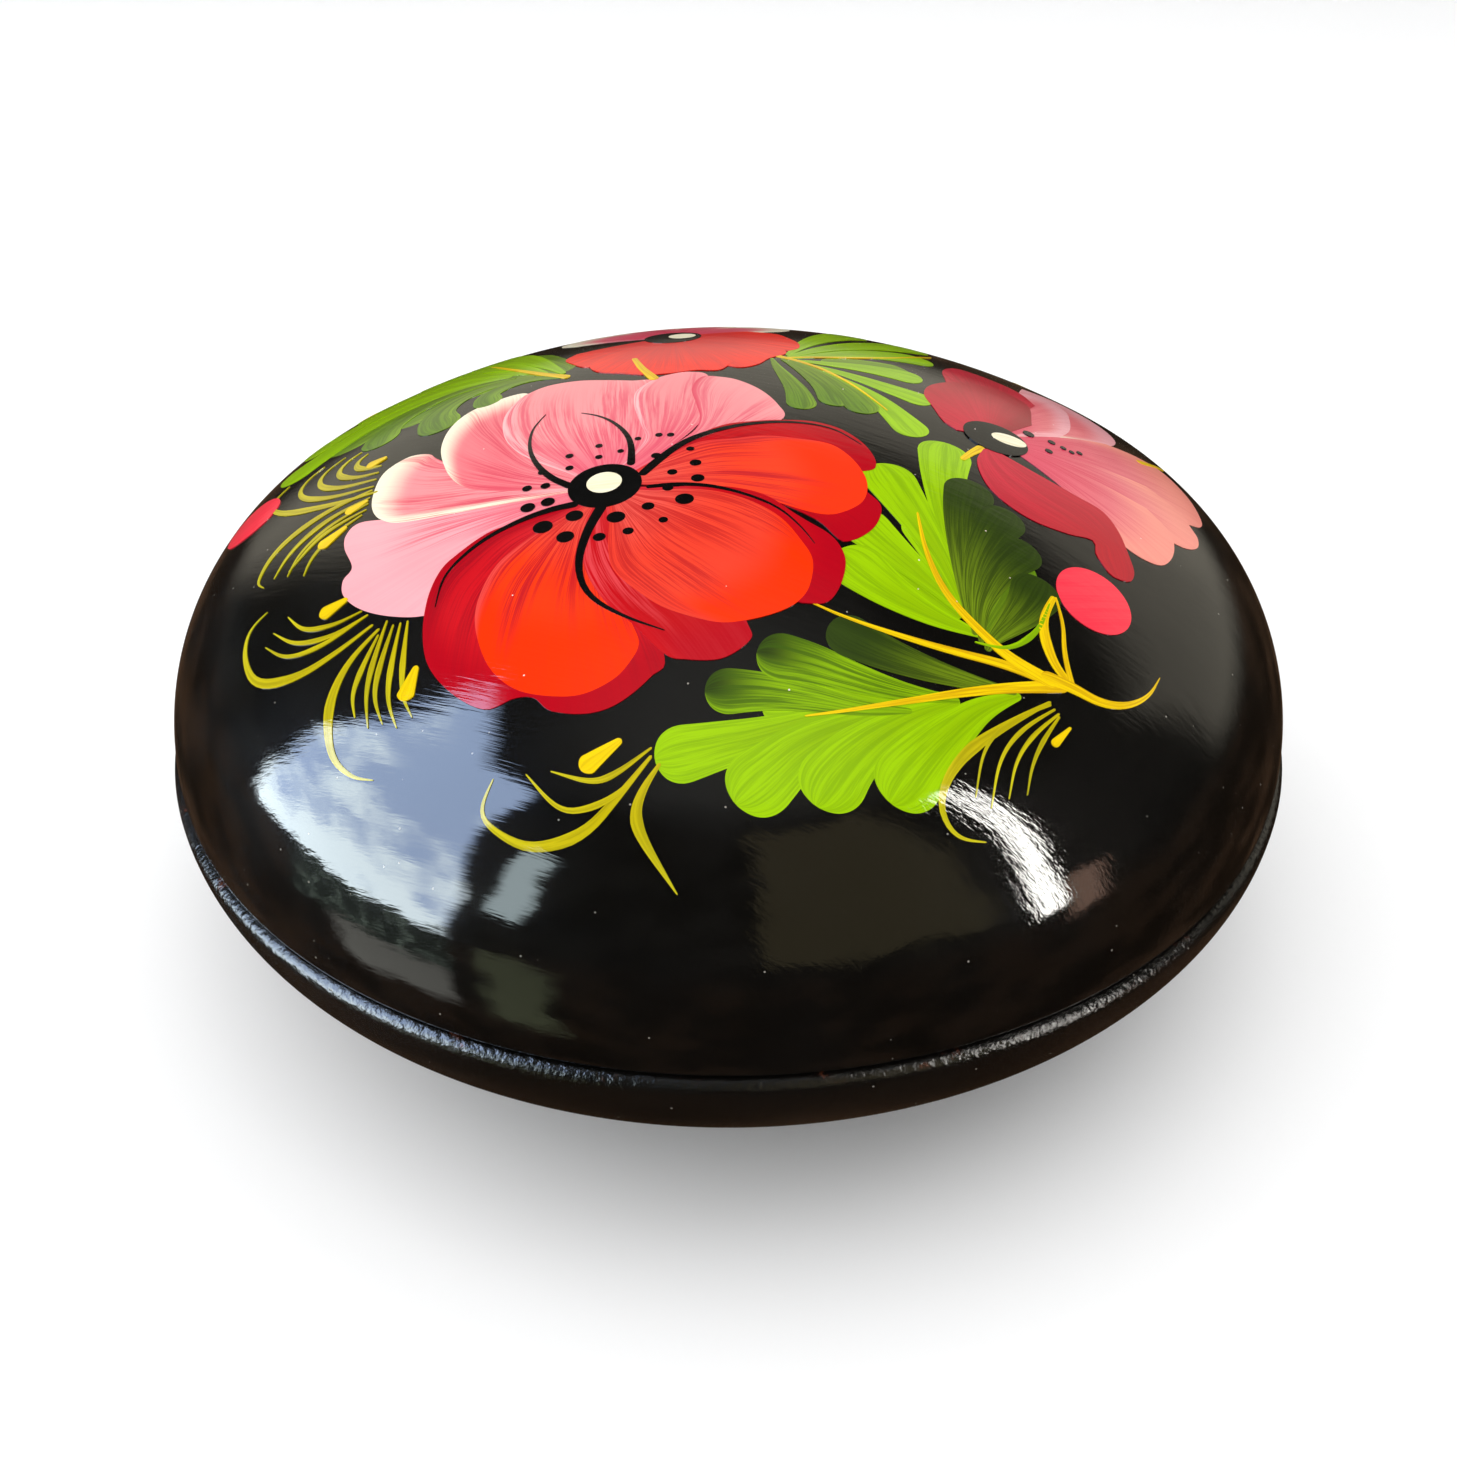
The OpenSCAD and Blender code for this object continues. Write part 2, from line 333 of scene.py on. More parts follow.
def varnish_bump(tree, place):
    """The rubbed varnish: fine scratches in one direction over a faint brush ripple."""
    turned = add(tree, "ShaderNodeMapping", Vector=place, Rotation=(0, 0, math.radians(22))).outputs[0]
    scratches = noise(tree, turned, 1300, 3, 0.65, (0.05, 1, 0.5))
    ripple = noise(tree, turned, 130, 2, 0.5, (0.3, 1, 0.6))
    fine = add(tree, "ShaderNodeBump", Strength=0.09, Distance=0.0003, Height=scratches).outputs[0]
    return add(tree, "ShaderNodeBump", Strength=0.10, Distance=0.0007, Height=ripple, Normal=fine).outputs[0]


def grain_bump(tree, place):
    """The base's rougher satin coat, with a fine sparkle."""
    grain = noise(tree, place, 1100, 2, 0.6)
    return add(tree, "ShaderNodeBump", Strength=0.5, Distance=0.0004, Height=grain).outputs[0]


def gloss(tree, colour, roughness, normal, coat=1.0, coat_roughness=0.05):
    """A dull body under a clear coat, with the same bumps on both."""
    shader = add(
        tree, "ShaderNodeBsdfPrincipled", Base_Color=colour, Roughness=roughness, IOR=1.45,
        Specular_IOR_Level=0.03, Normal=normal, Coat_Weight=coat, Coat_Roughness=coat_roughness,
        Coat_IOR=1.6, Coat_Normal=normal,
    )
    add(tree, "ShaderNodeOutputMaterial", Surface=shader.outputs[0])


def specks(tree, place, scale, size):
    """Dust and pin holes: a small dot in some of the cells of a random pattern."""
    cells = add(tree, "ShaderNodeTexVoronoi", Vector=place, Scale=scale)
    near = math_node(tree, "LESS_THAN", cells.outputs["Distance"], size)
    chance = add(tree, "ShaderNodeSeparateColor", Color=cells.outputs["Color"]).outputs[0]
    return math_node(tree, "MULTIPLY", near, math_node(tree, "GREATER_THAN", chance, 0.72))


def lacquer_material(name, satin):
    """Black lacquer on turned wood, brown in patchy spots within a millimetre of the seam. satin is the
    duller base.
    """
    material, tree = new_material(name)
    place = object_place(tree)
    blotch = ramp(tree, noise(tree, place, 40, 4, 0.6), 0.35, 0.7)
    colour = mix_colour(tree, blotch, LACQUER, LACQUER * 1.6)
    height = add(tree, "ShaderNodeSeparateXYZ", Vector=place).outputs[2]
    from_seam = math_node(tree, "ABSOLUTE", math_node(tree, "SUBTRACT", height, SEAM_Z * MM))
    edge = math_node(tree, "SUBTRACT", 1.0, ramp(tree, from_seam, 0.0002, 0.0008))
    patchy = ramp(tree, noise(tree, place, 220, 5, 0.7), 0.6, 0.7)
    colour = mix_colour(tree, math_node(tree, "MULTIPLY", edge, patchy), colour, srgb(80, 40, 24))
    colour = mix_colour(tree, specks(tree, place, 480, 0.06), colour, srgb(140, 136, 128))
    rough = math_node(tree, "ADD", ramp(tree, noise(tree, place, 70, 3, 0.6), 0.2, 1.2), 0.22)
    if satin:
        gloss(tree, colour, rough, grain_bump(tree, place), coat_roughness=0.24)
    else:
        gloss(tree, colour, rough, varnish_bump(tree, place))
    return material


def paint_material():
    """Brush paint under varnish: the streaks of the bristles mix a light and a dark colour."""
    material, tree = new_material("brush_paint")

    def stored(name):
        node = tree.nodes.new("ShaderNodeAttribute")
        node.attribute_name = name
        return node.outputs

    bristle = stored("bristle")["Vector"]
    fine = math_node(tree, "MULTIPLY", noise(tree, bristle, 1.0, 3, 0.65, (3.2, 0.10, 1)), 0.6)
    broad = math_node(tree, "MULTIPLY", noise(tree, bristle, 1.0, 2, 0.5, (0.8, 0.05, 1.7)), 0.4)
    streak = ramp(tree, math_node(tree, "ADD", fine, broad), 0.42, 0.60)
    colour = mix_colour(tree, streak, stored("light")["Color"], stored("dark")["Color"])
    place = object_place(tree)
    colour = mix_colour(tree, specks(tree, place, 420, 0.05), colour, srgb(240, 220, 210))
    gloss(tree, colour, 0.35, varnish_bump(tree, place), coat=0.7)
    return material


# ---------------- strokes on the flattened skin
def spline(knots, n):
    """A smooth curve through the knots, n points evenly spaced along it."""
    k = np.array(knots, float)
    k = np.concatenate([[2 * k[0] - k[1]], k, [2 * k[-1] - k[-2]]])
    out = []
    for i in range(1, len(k) - 2):
        t = np.linspace(0, 1, 24, endpoint=False)[:, None]
        p0, p1, p2, p3 = k[i - 1], k[i], k[i + 1], k[i + 2]
        out.append(
            0.5 * (2 * p1 + (p2 - p0) * t + (2 * p0 - 5 * p1 + 4 * p2 - p3) * t * t
                   + (3 * p1 - p0 - 3 * p2 + p3) * t ** 3)
        )
    return spread(np.concatenate([*out, [k[-2]]]), n)


def spread(curve, n):
    """n points evenly spaced along a curve."""
    run = np.concatenate([[0], np.cumsum(np.linalg.norm(np.diff(curve, axis=0), axis=1))])
    at = np.linspace(0, run[-1], n)
    return np.stack([np.interp(at, run, curve[:, i]) for i in range(curve.shape[1])], -1)


def flowing(knots, n):
    """A soft curve drawn towards the knots rather than through them, n points along it."""
    k = np.array(knots, float)
    for _ in range(4):
        early = 0.75 * k[:-1] + 0.25 * k[1:]
        late = 0.25 * k[:-1] + 0.75 * k[1:]
        middle = np.stack([early, late], 1).reshape(-1, 2)
        k = np.concatenate([k[:1], middle[1:-1], k[-1:]])
    return spline(k, n)


def blend(a, b, t):
    """Mixes two colours, or arrays of them, by t."""
    t = np.asarray(t)[..., None]
    return a * (1 - t) + b * t


def smooth(x, low, high):
    """0 below low, 1 above high, smooth between."""
    t = np.clip((x - low) / (high - low), 0, 1)
    return t * t * (3 - 2 * t)


def polar(centre, knots):
    """Places from (angle in degrees, distance in mm) about a centre."""
    return [
        (centre[0] + r * math.cos(math.radians(a)), centre[1] + r * math.sin(math.radians(a)))
        for a, r in knots
    ]


def curve_length(curve):
    return np.linalg.norm(np.diff(curve, axis=0), axis=1).sum()


def lay(film, grid, lift, colours, x, t, width, length):
    """Paint over a grid of places. colours(x, t) gives the light and dark colour, x across the stroke
    and t along it, both from 0 to 1; width and length are the stroke's size in mm."""
    xx, tt = np.meshgrid(x, t)
    light, dark = colours(xx, tt)
    film.patch(grid[..., 0], grid[..., 1], lift, light, dark, xx * width, tt * length)


def fan(film, centre, knots, lift, colours, sides=(0, 0)):
    """A petal whose outer edge runs through the knots, (angle, distance) about the centre.
    sides bends its two long edges."""
    cols, rows, root = 72, 22, 3.0
    edge = spline(polar(centre, knots), cols)
    x = np.linspace(0, 1, cols)
    t = np.linspace(0, 1, rows)
    angles = np.radians(np.interp(x, [0, 1], [knots[0][0], knots[-1][0]]))
    base = np.array(centre) + root * np.stack([np.cos(angles), np.sin(angles)], -1)
    reach = edge - base
    normal = np.stack([-reach[:, 1], reach[:, 0]], -1)
    middle = (base + edge) / 2 + normal * np.interp(x, [0, 1], sides)[:, None]
    out = t[:, None, None]
    grid = base * (1 - out) ** 2 + 2 * middle * out * (1 - out) + edge * out * out
    lay(film, grid, lift, colours, x, t, curve_length(edge), np.linalg.norm(reach, axis=1).mean())


def petal(film, side, tip, other, lift, colours):
    """A main petal inside an outline of (angle, distance) knots about the eye: side runs up from the
    eye, tip goes round the outer edge, other comes back to the eye."""
    cols, rows = 64, 40
    knots = polar(MAIN, about([*side, *tip, *other]))
    whole = spline(knots, 900)
    corners = len(side), len(side) + len(tip) - 1
    first, last = [int(np.argmin(np.linalg.norm(whole - knots[i], axis=1))) for i in corners]
    left = spread(whole[: first + 1], rows)[:, None]
    right = spread(whole[last:][::-1], rows)[:, None]
    outer = spread(whole[first : last + 1], cols)
    x = np.linspace(0, 1, cols)
    t = np.linspace(0, 1, rows)
    across = x[None, :, None]
    chord = left[-1] * (1 - x[:, None]) + right[-1] * x[:, None]
    grid = left * (1 - across) + right * across + (t[:, None, None] ** 1.6) * (outer - chord)
    lay(film, grid, lift, colours, x, t, curve_length(outer), curve_length(left[:, 0]))


# How much closer the steps along a stroke are at its ends, 0 for even steps.
END_CROWDING = 0.8
THINNEST = 0.04


def stroke(film, knots, widths, lift, colours, cols=9, rows=40):
    """A brush stroke along the knots, as wide as the widths say, with round ends."""
    line = flowing(knots, rows)
    step = np.gradient(line, axis=0)
    step /= np.linalg.norm(step, axis=1)[:, None]
    normal = np.stack([-step[:, 1], step[:, 0]], -1)
    length = curve_length(line)
    even = np.linspace(0, 1, rows)
    t = even - np.sin(2 * math.pi * even) / (2 * math.pi) * END_CROWDING
    line = np.stack([np.interp(t, even, line[:, i]) for i in (0, 1)], -1)
    normal = np.stack([np.interp(t, even, normal[:, i]) for i in (0, 1)], -1)
    width = np.interp(t, np.linspace(0, 1, 60), spline([(w, 0) for w in widths], 60)[:, 0])
    for w, from_end in ((widths[0], t), (widths[-1], 1 - t)):
        round_part = max(0.5 * w / length, 0.01)
        width = width * np.sqrt(1 - (1 - np.clip(from_end / round_part, 0.004, 1)) ** 2)
    x = np.linspace(-1, 1, cols)
    grid = line[:, None] + normal[:, None] * (np.maximum(width, THINNEST)[:, None] * x)[..., None] / 2
    lay(film, grid, lift, colours, (x + 1) / 2, t, max(widths), length)


def band(film, left, right, lift, colours):
    """Paint between two edges that both run from the root to the tip."""
    cols, rows = 24, 40
    a = spline(left, rows)
    b = spline(right, rows)
    x = np.linspace(0, 1, cols)
    grid = a[:, None] * (1 - x[:, None]) + b[:, None] * x[:, None]
    width = np.linalg.norm(a - b, axis=1).max()
    lay(film, grid, lift, colours, x, np.linspace(0, 1, rows), width, curve_length((a + b) / 2))


def dab(film, place, rx, ry, angle, lift, light, dark=None, n=13):
    """An oval touch of the brush."""
    a, b = np.meshgrid(np.linspace(-1, 1, n), np.linspace(-1, 1, n))
    x = a * np.sqrt(1 - b * b / 2) * rx
    y = b * np.sqrt(1 - a * a / 2) * ry
    c, s = math.cos(math.radians(angle)), math.sin(math.radians(angle))
    u = place[0] + x * c - y * s
    v = place[1] + x * s + y * c
    dark = light if dark is None else dark
    film.patch(u, v, lift, light, dark, y + ry, x + rx)


# ---------------- turned pieces
def lid_profile():
    """The lid's outline, from the top of the dome round the rim and the rebate to the inside."""
    outer, end = cap_arc(CORNER_X, SEAM_Z, CORNER_R, TOP_Z, 90)
    edge_z = SEAM_Z + GAP + RIM_ROUND
    low = math.degrees(math.asin((edge_z - SEAM_Z) / CORNER_R))
    outer += arc(CORNER_X, SEAM_Z, CORNER_R, end, low, 60)[1:]
    outer += arc(outer[-1][0] - RIM_ROUND, edge_z, RIM_ROUND, 0, -90, 8)[1:]
    rebate_r = SPIGOT_R + GAP
    rebate_z = SEAM_Z + SPIGOT_H + 2 * GAP
    inner_r = CORNER_R - LID_WALL
    start = math.degrees(math.asin((rebate_z - SEAM_Z) / inner_r))
    inner, inner_end = cap_arc(CORNER_X, SEAM_Z, inner_r, TOP_Z - DOME_T, 40)
    step = [
        (rebate_r + REBATE_BEVEL, SEAM_Z + GAP),
        (rebate_r, SEAM_Z + GAP + REBATE_BEVEL),
        (rebate_r, rebate_z),
    ]
    rise = arc(CORNER_X, SEAM_Z, inner_r, start, inner_end, 24)
    return outer + step + rise + inner[::-1][1:]


def base_profile():
    """The base's outline, from the floor of the bowl over the centring ring to the foot."""
    shoulder_z = SEAM_Z - SHOULDER_ROUND
    belly_x = BASE_R - BASE_CORNER_R
    bowl_z = SEAM_Z - BOWL_CORNER_DROP
    bowl_x = MOUTH_R - BOWL_CORNER_R
    inner, inner_end = cap_arc(bowl_x, bowl_z, BOWL_CORNER_R, FLOOR_T, 40)
    points = inner + arc(bowl_x, bowl_z, BOWL_CORNER_R, inner_end, 0, 20)[1:]
    top = SEAM_Z + SPIGOT_H
    points += arc(MOUTH_R + MOUTH_ROUND, top - MOUTH_ROUND, MOUTH_ROUND, 180, 90, 5)
    points += arc(SPIGOT_R - SPIGOT_ROUND, top - SPIGOT_ROUND, SPIGOT_ROUND, 90, 0, 6)
    points += [(SPIGOT_R, SEAM_Z)]
    points += arc(BASE_R - SHOULDER_ROUND, shoulder_z, SHOULDER_ROUND, 90, 0, 12)
    belly, belly_end = cap_arc(belly_x, shoulder_z, BASE_CORNER_R, -FOOT_CUT, 120)
    points += arc(belly_x, shoulder_z, BASE_CORNER_R, 0, belly_end, 36)[1:]
    side = [p for p in belly[::-1][1:] if p[1] > FOOT_ROUND]
    foot_r = side[-1][0] - 2 * FOOT_SET_IN
    points += side + arc(foot_r, FOOT_ROUND, FOOT_ROUND, -30, -90, 4)
    return points + [(0, 0)]


# ---------------- the painting
MAIN = (-16.2, -24.2)
SIDE = (38.5, -4.5)
BACK = (-9, 29)


def plain(light, dark):
    """The same two colours all over a stroke."""
    return lambda x, t: (light, dark)


def fade(start, end, low=0.0, high=1.0, deep=0.35, deep_colour=None, left=None, right=None):
    """Colours that run along the stroke from start to end. deep says how much of deep_colour the
    streaks carry; left and right are colours that the brush carries on its two sides."""

    def colours(x, t):
        light = blend(start, end, smooth(t, low, high))
        if left is not None:
            light = blend(light, left, 1 - smooth(x, 0, 0.5))
        if right is not None:
            light = blend(light, right, smooth(x, 0.5, 1))
        dark = blend(light, light * 0.35 if deep_colour is None else deep_colour, np.full_like(x, deep))
        return light, dark

    return colours


def pink_colours(root, body, rim, rim_width, right=None, side_width=0.25, streaks=0.75):
    """Colours of a pink petal: rose at its root, then the body colour, a pale rim and a pale side."""

    def colours(x, t):
        rim_part = smooth(t, 1 - rim_width * 2.2, 1 - rim_width * 0.4)
        light = blend(blend(root, body, smooth(t, 0.15, 0.75)), rim, rim_part)
        if right is not None:
            light = blend(light, right, smooth(x, 1 - side_width, 0.98))
        dark = blend(light, DEEP_ROSE, streaks * (1 - smooth(t, 0.3, 1)) + 0.1)
        return light, dark

    return colours


def brushed(
    root, body, tip, streak, reach=0.7, strength=0.7, tip_start=0.75, first=None, last=None, side=0.2,
):
    """Root, body and tip colours along a petal. The bristles carry the streak colour unevenly out to
    about reach; first and last are the colours of its two sides."""

    def colours(x, t):
        light = blend(root, body, smooth(t, 0.1, 0.55))
        light = blend(light, tip, smooth(t, tip_start, tip_start + 0.2))
        if first is not None:
            light = blend(light, first, 1 - smooth(x, 0.02, side))
        if last is not None:
            light = blend(light, last, smooth(x, 1 - side, 0.98))
        end = reach + 0.14 * np.sin(8.3 * x + 1.1) + 0.09 * np.sin(21 * x)
        dark = blend(light, streak, strength * (1 - smooth(t, end - 0.35, end)) + 0.08)
        return light, dark

    return colours


def about(knots):
    """Knots given by (angle, distance), with angles that cross 0 carried on past 360."""
    out = [knots[0]]
    for angle, r in knots[1:]:
        while angle - out[-1][0] > 180:
            angle -= 360
        while out[-1][0] - angle > 180:
            angle += 360
        out.append((angle, r))
    return out


def main_flower_pink(film):
    pale = srgb(248, 184, 186)
    petal(
        film, [(215, 3), (222, 14)],
        [(228, 24), (220, 29), (212, 32.4), (204, 35.2), (197, 36.8), (192, 36.6), (189, 35.2), (181, 36.8),
         (176, 37.2), (173, 35.6)],
        [(175, 30), (178, 20), (182, 10), (184, 3)], 0.050,
        brushed(srgb(240, 130, 142), srgb(252, 166, 174), srgb(252, 172, 180), ROSE, 0.8, 0.75, 0.7,
                first=srgb(236, 120, 134)),
    )
    petal(
        film, [(140, 3), (146, 14), (151, 25), (149, 29.5), (147, 32)],
        [(148, 35.4), (152, 37.2), (156, 37.4), (163, 36), (169, 34.4), (174, 32.1)],
        [(178, 28.4), (181, 20), (184, 11), (188, 3)], 0.062,
        brushed(srgb(244, 176, 178), srgb(242, 142, 148), CREAM, DEEP_PINK, 0.95, 0.8, 0.79,
                last=CREAM, side=0.18),
    )
    petal(
        film, [(175, 3), (172, 12), (167, 19)],
        [(160, 23.2), (152, 27), (144, 31.1), (136, 34.6), (129, 36.5), (122, 36.2), (114, 33.6)],
        [(122, 25), (138, 14), (150, 3)], 0.074,
        brushed(srgb(242, 150, 154), srgb(236, 118, 128), CREAM, DEEP_PINK, 0.95, 0.75, 0.8),
    )
    petal(
        film, [(150, 3), (141, 13.8), (136, 20), (130, 24.8), (124, 28.9)],
        [(117, 32.4), (113, 33.6), (108, 34), (101, 32.8), (93, 30.7), (86, 29.4), (79, 28.8)],
        [(72, 22), (64, 15), (56, 9), (50, 3)], 0.086,
        brushed(ROSE_PINK, srgb(242, 146, 150), srgb(244, 152, 154), ROSE, 1, 0.8, 0.8,
                first=pale, side=0.14),
    )
    petal(
        film, [(68, 3), (63, 10.7), (74, 14.8), (82, 20.8), (83, 25.4)],
        [(79, 29.8), (75, 32), (71, 33.1), (66, 32.4)],
        [(58, 26), (48, 18), (40, 9), (36, 3)], 0.094,
        brushed(srgb(232, 116, 128), srgb(234, 140, 144), srgb(236, 144, 148), ROSE, 1, 0.8, 0.8,
                first=pale),
    )
    petal(
        film, [(38, 3), (42, 10), (45, 16.1), (51, 19.5), (59, 22.7), (66, 27)],
        [(67, 31.5), (62, 32.6), (57, 32.7), (49, 31.8), (40, 30.2), (33, 28.3)],
        [(30, 22), (28, 12), (27, 3)], 0.102,
        brushed(srgb(228, 112, 124), srgb(234, 144, 148), srgb(238, 152, 154), ROSE, 1, 0.7, 0.8,
                first=DEEP_PINK, side=0.07),
    )


def main_flower_crimson(film):
    body = srgb(190, 6, 20)
    edge = srgb(176, 0, 22)
    left = brushed(srgb(214, 40, 48), srgb(202, 18, 30), edge, DARK_CRIMSON, 0.9, 0.5, last=edge, side=0.22)
    petal(
        film, [(275, 3), (282, 16)],
        [(286, 30.6), (282, 33.3), (275, 36), (269, 36.9), (262, 36.4), (258, 34.8), (254, 35.1),
         (249, 37.1), (241, 36.3), (232, 34.3), (224, 31.2)],
        [(215, 27.3), (208, 23.8), (205, 20.6), (202, 16.4), (204, 12.6), (212, 8), (225, 3)], 0.110, left,
    )
    deep = brushed(srgb(214, 44, 54), body, edge, DARK_CRIMSON, 0.9, 0.45)
    petal(
        film, [(8, 3), (6, 20), (3, 31)],
        [(358, 34.4), (354, 36.2), (348, 35.9), (343, 34.5), (340, 32.7)],
        [(341, 31.3), (345, 27.9), (350, 20), (352, 10), (355, 3)], 0.110, deep,
    )
    petal(
        film, [(30, 3), (38, 9), (41, 16), (40, 20.4), (36, 24.1)],
        [(32, 28), (28, 31.7), (23, 34.4), (16, 36.1), (9, 36.4), (6, 34.6)],
        [(5, 28), (4, 16), (5, 3)], 0.114, deep,
    )
    petal(
        film, [(300, 3), (304, 14), (308, 26)],
        [(306, 31.7), (304, 33.5), (297, 34), (290, 32.3), (286, 30.6)],
        [(280, 25.1), (275, 22.5), (269, 18.9), (262, 14.5), (255, 9), (252, 3)], 0.126,
        brushed(srgb(192, 28, 34), srgb(182, 8, 18), edge, srgb(220, 70, 76), 0.75, 0.8,
                last=body, side=0.3),
    )
    petal(
        film, [(345, 3), (350, 8), (353, 12.3), (354, 16.7), (351, 21.3)],
        [(344, 26.3), (341, 30.4), (338, 32.7), (334, 34.3), (328, 35.4), (323, 35.6), (320, 34.1),
         (318, 31.5)],
        [(316, 22), (318, 12), (322, 3)], 0.134, deep,
    )


def main_flower_orange(film):
    tip = srgb(247, 50, 0)
    petal(
        film, [(255, 3), (262, 8), (272, 12), (277, 18.7), (280, 24.8)],
        [(281, 28.3), (278, 30.8), (274, 32.8), (268, 34.3), (262, 34.5), (255, 34.1), (249, 32.8),
         (243, 30.6), (235, 26.9)],
        [(229, 23.3), (223, 18.3), (222, 13.3), (225, 9.2), (235, 5), (240, 3)], 0.118,
        brushed(srgb(230, 84, 70), srgb(242, 58, 16), tip, srgb(190, 28, 34), 0.85, 0.9, 0.62,
                last=srgb(226, 70, 64), side=0.1),
    )
    petal(
        film, [(30, 3), (35, 9), (35, 14.9), (29, 19.5), (26, 23.5)],
        [(21, 27.7), (17, 31.3), (11, 33.2), (4, 34.3), (358, 34.3), (353, 33.2), (348, 30.3)],
        [(347, 26.9), (349, 21.4), (352, 12), (355, 3)], 0.130,
        brushed(srgb(232, 86, 74), srgb(242, 66, 36), srgb(247, 54, 16), srgb(192, 36, 40), 0.85, 0.9, 0.66,
                first=srgb(222, 58, 52)),
    )
    petal(
        film, [(335, 3), (343, 7), (349, 10.2), (350, 14.6), (347, 19.2), (342, 23.8)],
        [(336, 27.5), (331, 30.5), (324, 32.4), (319, 32.9), (314, 32.4), (308, 31.2), (302, 29.7),
         (297, 27.5)],
        [(290, 24.1), (284, 20.5), (277, 16.5), (275, 12.8), (278, 7), (285, 3)], 0.142,
        brushed(srgb(230, 88, 78), srgb(236, 66, 44), tip, srgb(186, 34, 34), 0.9, 0.75, 0.7,
                last=srgb(226, 60, 44)),
    )


def side_flower_pink(film):
    dusty = srgb(230, 122, 128)
    salmon = srgb(246, 152, 136)
    behind = [(72, 36), (64, 40), (55, 40), (45, 36), (37, 30), (30, 20)]
    pale_side = pink_colours(dusty, dusty, LIGHT_PINK, 0.14, CREAM, 0.25, 0.4)
    fan(film, SIDE, behind, 0.05, pale_side, (0, 0.1))
    inner = [(78, 24), (72, 29), (65, 36), (58, 33), (52, 27), (43, 20), (33, 13)]
    rosy = pink_colours(ROSE, dusty, LIGHT_PINK, 0.16, LIGHT_PINK, 0.2, 0.5)
    fan(film, SIDE, inner, 0.06, rosy, (0, 0.1))
    for knots, lift in (
        ([(36, 27), (32, 34), (27, 37.5), (16, 37.5), (4, 36), (-2, 34.5), (-5, 32)], 0.07),
        ([(8, 26), (0, 31), (-6, 32), (-11, 33), (-17, 32.8), (-22, 31), (-25, 28)], 0.078),
        ([(-12, 24), (-19, 28), (-26, 29.3), (-34, 30), (-41, 29.8), (-46, 27.5), (-50, 23)], 0.086),
    ):
        fan(film, SIDE, knots, lift, pink_colours(ROSE, dusty, salmon, 0.2, streaks=0.6), (0, 0.08))


def side_flower_crimson(film):
    dusty = srgb(200, 28, 56)
    dull = srgb(150, 12, 34)
    behind = [(104, 20), (99, 27), (91, 32), (80, 31), (72, 29), (64, 24)]
    fan(film, SIDE, behind, 0.092, fade(dull, dusty, 0.2, 1), (0, 0))
    upper = [
        (185, 6), (169, 7.8), (147, 10.3), (132, 14.2), (116, 17.4), (97, 20.9), (79, 24), (66, 21.5),
        (52, 12),
    ]
    fan(film, SIDE, upper, 0.1, fade(dusty, srgb(176, 22, 44), 0.2, 1, 0.3, dull, left=dusty, right=dull))
    left = [
        (36, -9), (34.5, -13), (35, -18), (37, -21.5), (41, -24.3), (46, -25), (50, -24.6), (50, -27.5),
        (51.5, -30.7), (53, -31.2),
    ]
    right = [
        (37.5, -8.5), (40, -10), (44, -12.3), (49, -14.6), (53, -16.3), (54.8, -20), (55.5, -25),
        (55.7, -28.5), (54.7, -30.8), (53.2, -31.2),
    ]
    band(film, left, right, 0.108, fade(dusty, srgb(184, 12, 34), 0.1, 0.8, 0.4, dull))


def back_flower_pink(film):
    for knots, lift in (
        ([(58, 18), (52, 22), (44, 24), (34, 23.5), (26, 20), (20, 15)], 0.05),
        ([(92, 18), (84, 22), (74, 23.5), (64, 23), (56, 18)], 0.06),
        ([(128, 18), (120, 22), (108, 23), (97, 22), (88, 18)], 0.07),
        ([(165, 17), (157, 21), (145, 22), (132, 21), (124, 18)], 0.08),
    ):
        fan(film, BACK, knots, lift, pink_colours(ROSE, PINK, CREAM, 0.2))


def back_flower_crimson(film):
    coral = srgb(246, 44, 26)
    body = srgb(212, 36, 36)
    for knots, lift in (
        ([(24, 13), (12, 17), (0, 18.5), (348, 20.5), (338, 21.5), (330, 21)], 0.1),
        ([(335, 19), (326, 21.5), (315, 21.5), (306, 22.8), (298, 22.8), (292, 20)], 0.108),
        ([(198, 16), (206, 18.5), (217, 19), (228, 19.5), (236, 18.5)], 0.112),
        ([(299, 20), (290, 22.6), (281, 21.6), (272, 22), (262, 22.2), (252, 21.4), (240, 21), (230, 18.8),
          (224, 14)], 0.12),
    ):
        fan(film, BACK, about(knots), lift, fade(body, coral, 0.3, 1, 0.45, srgb(188, 40, 48)))


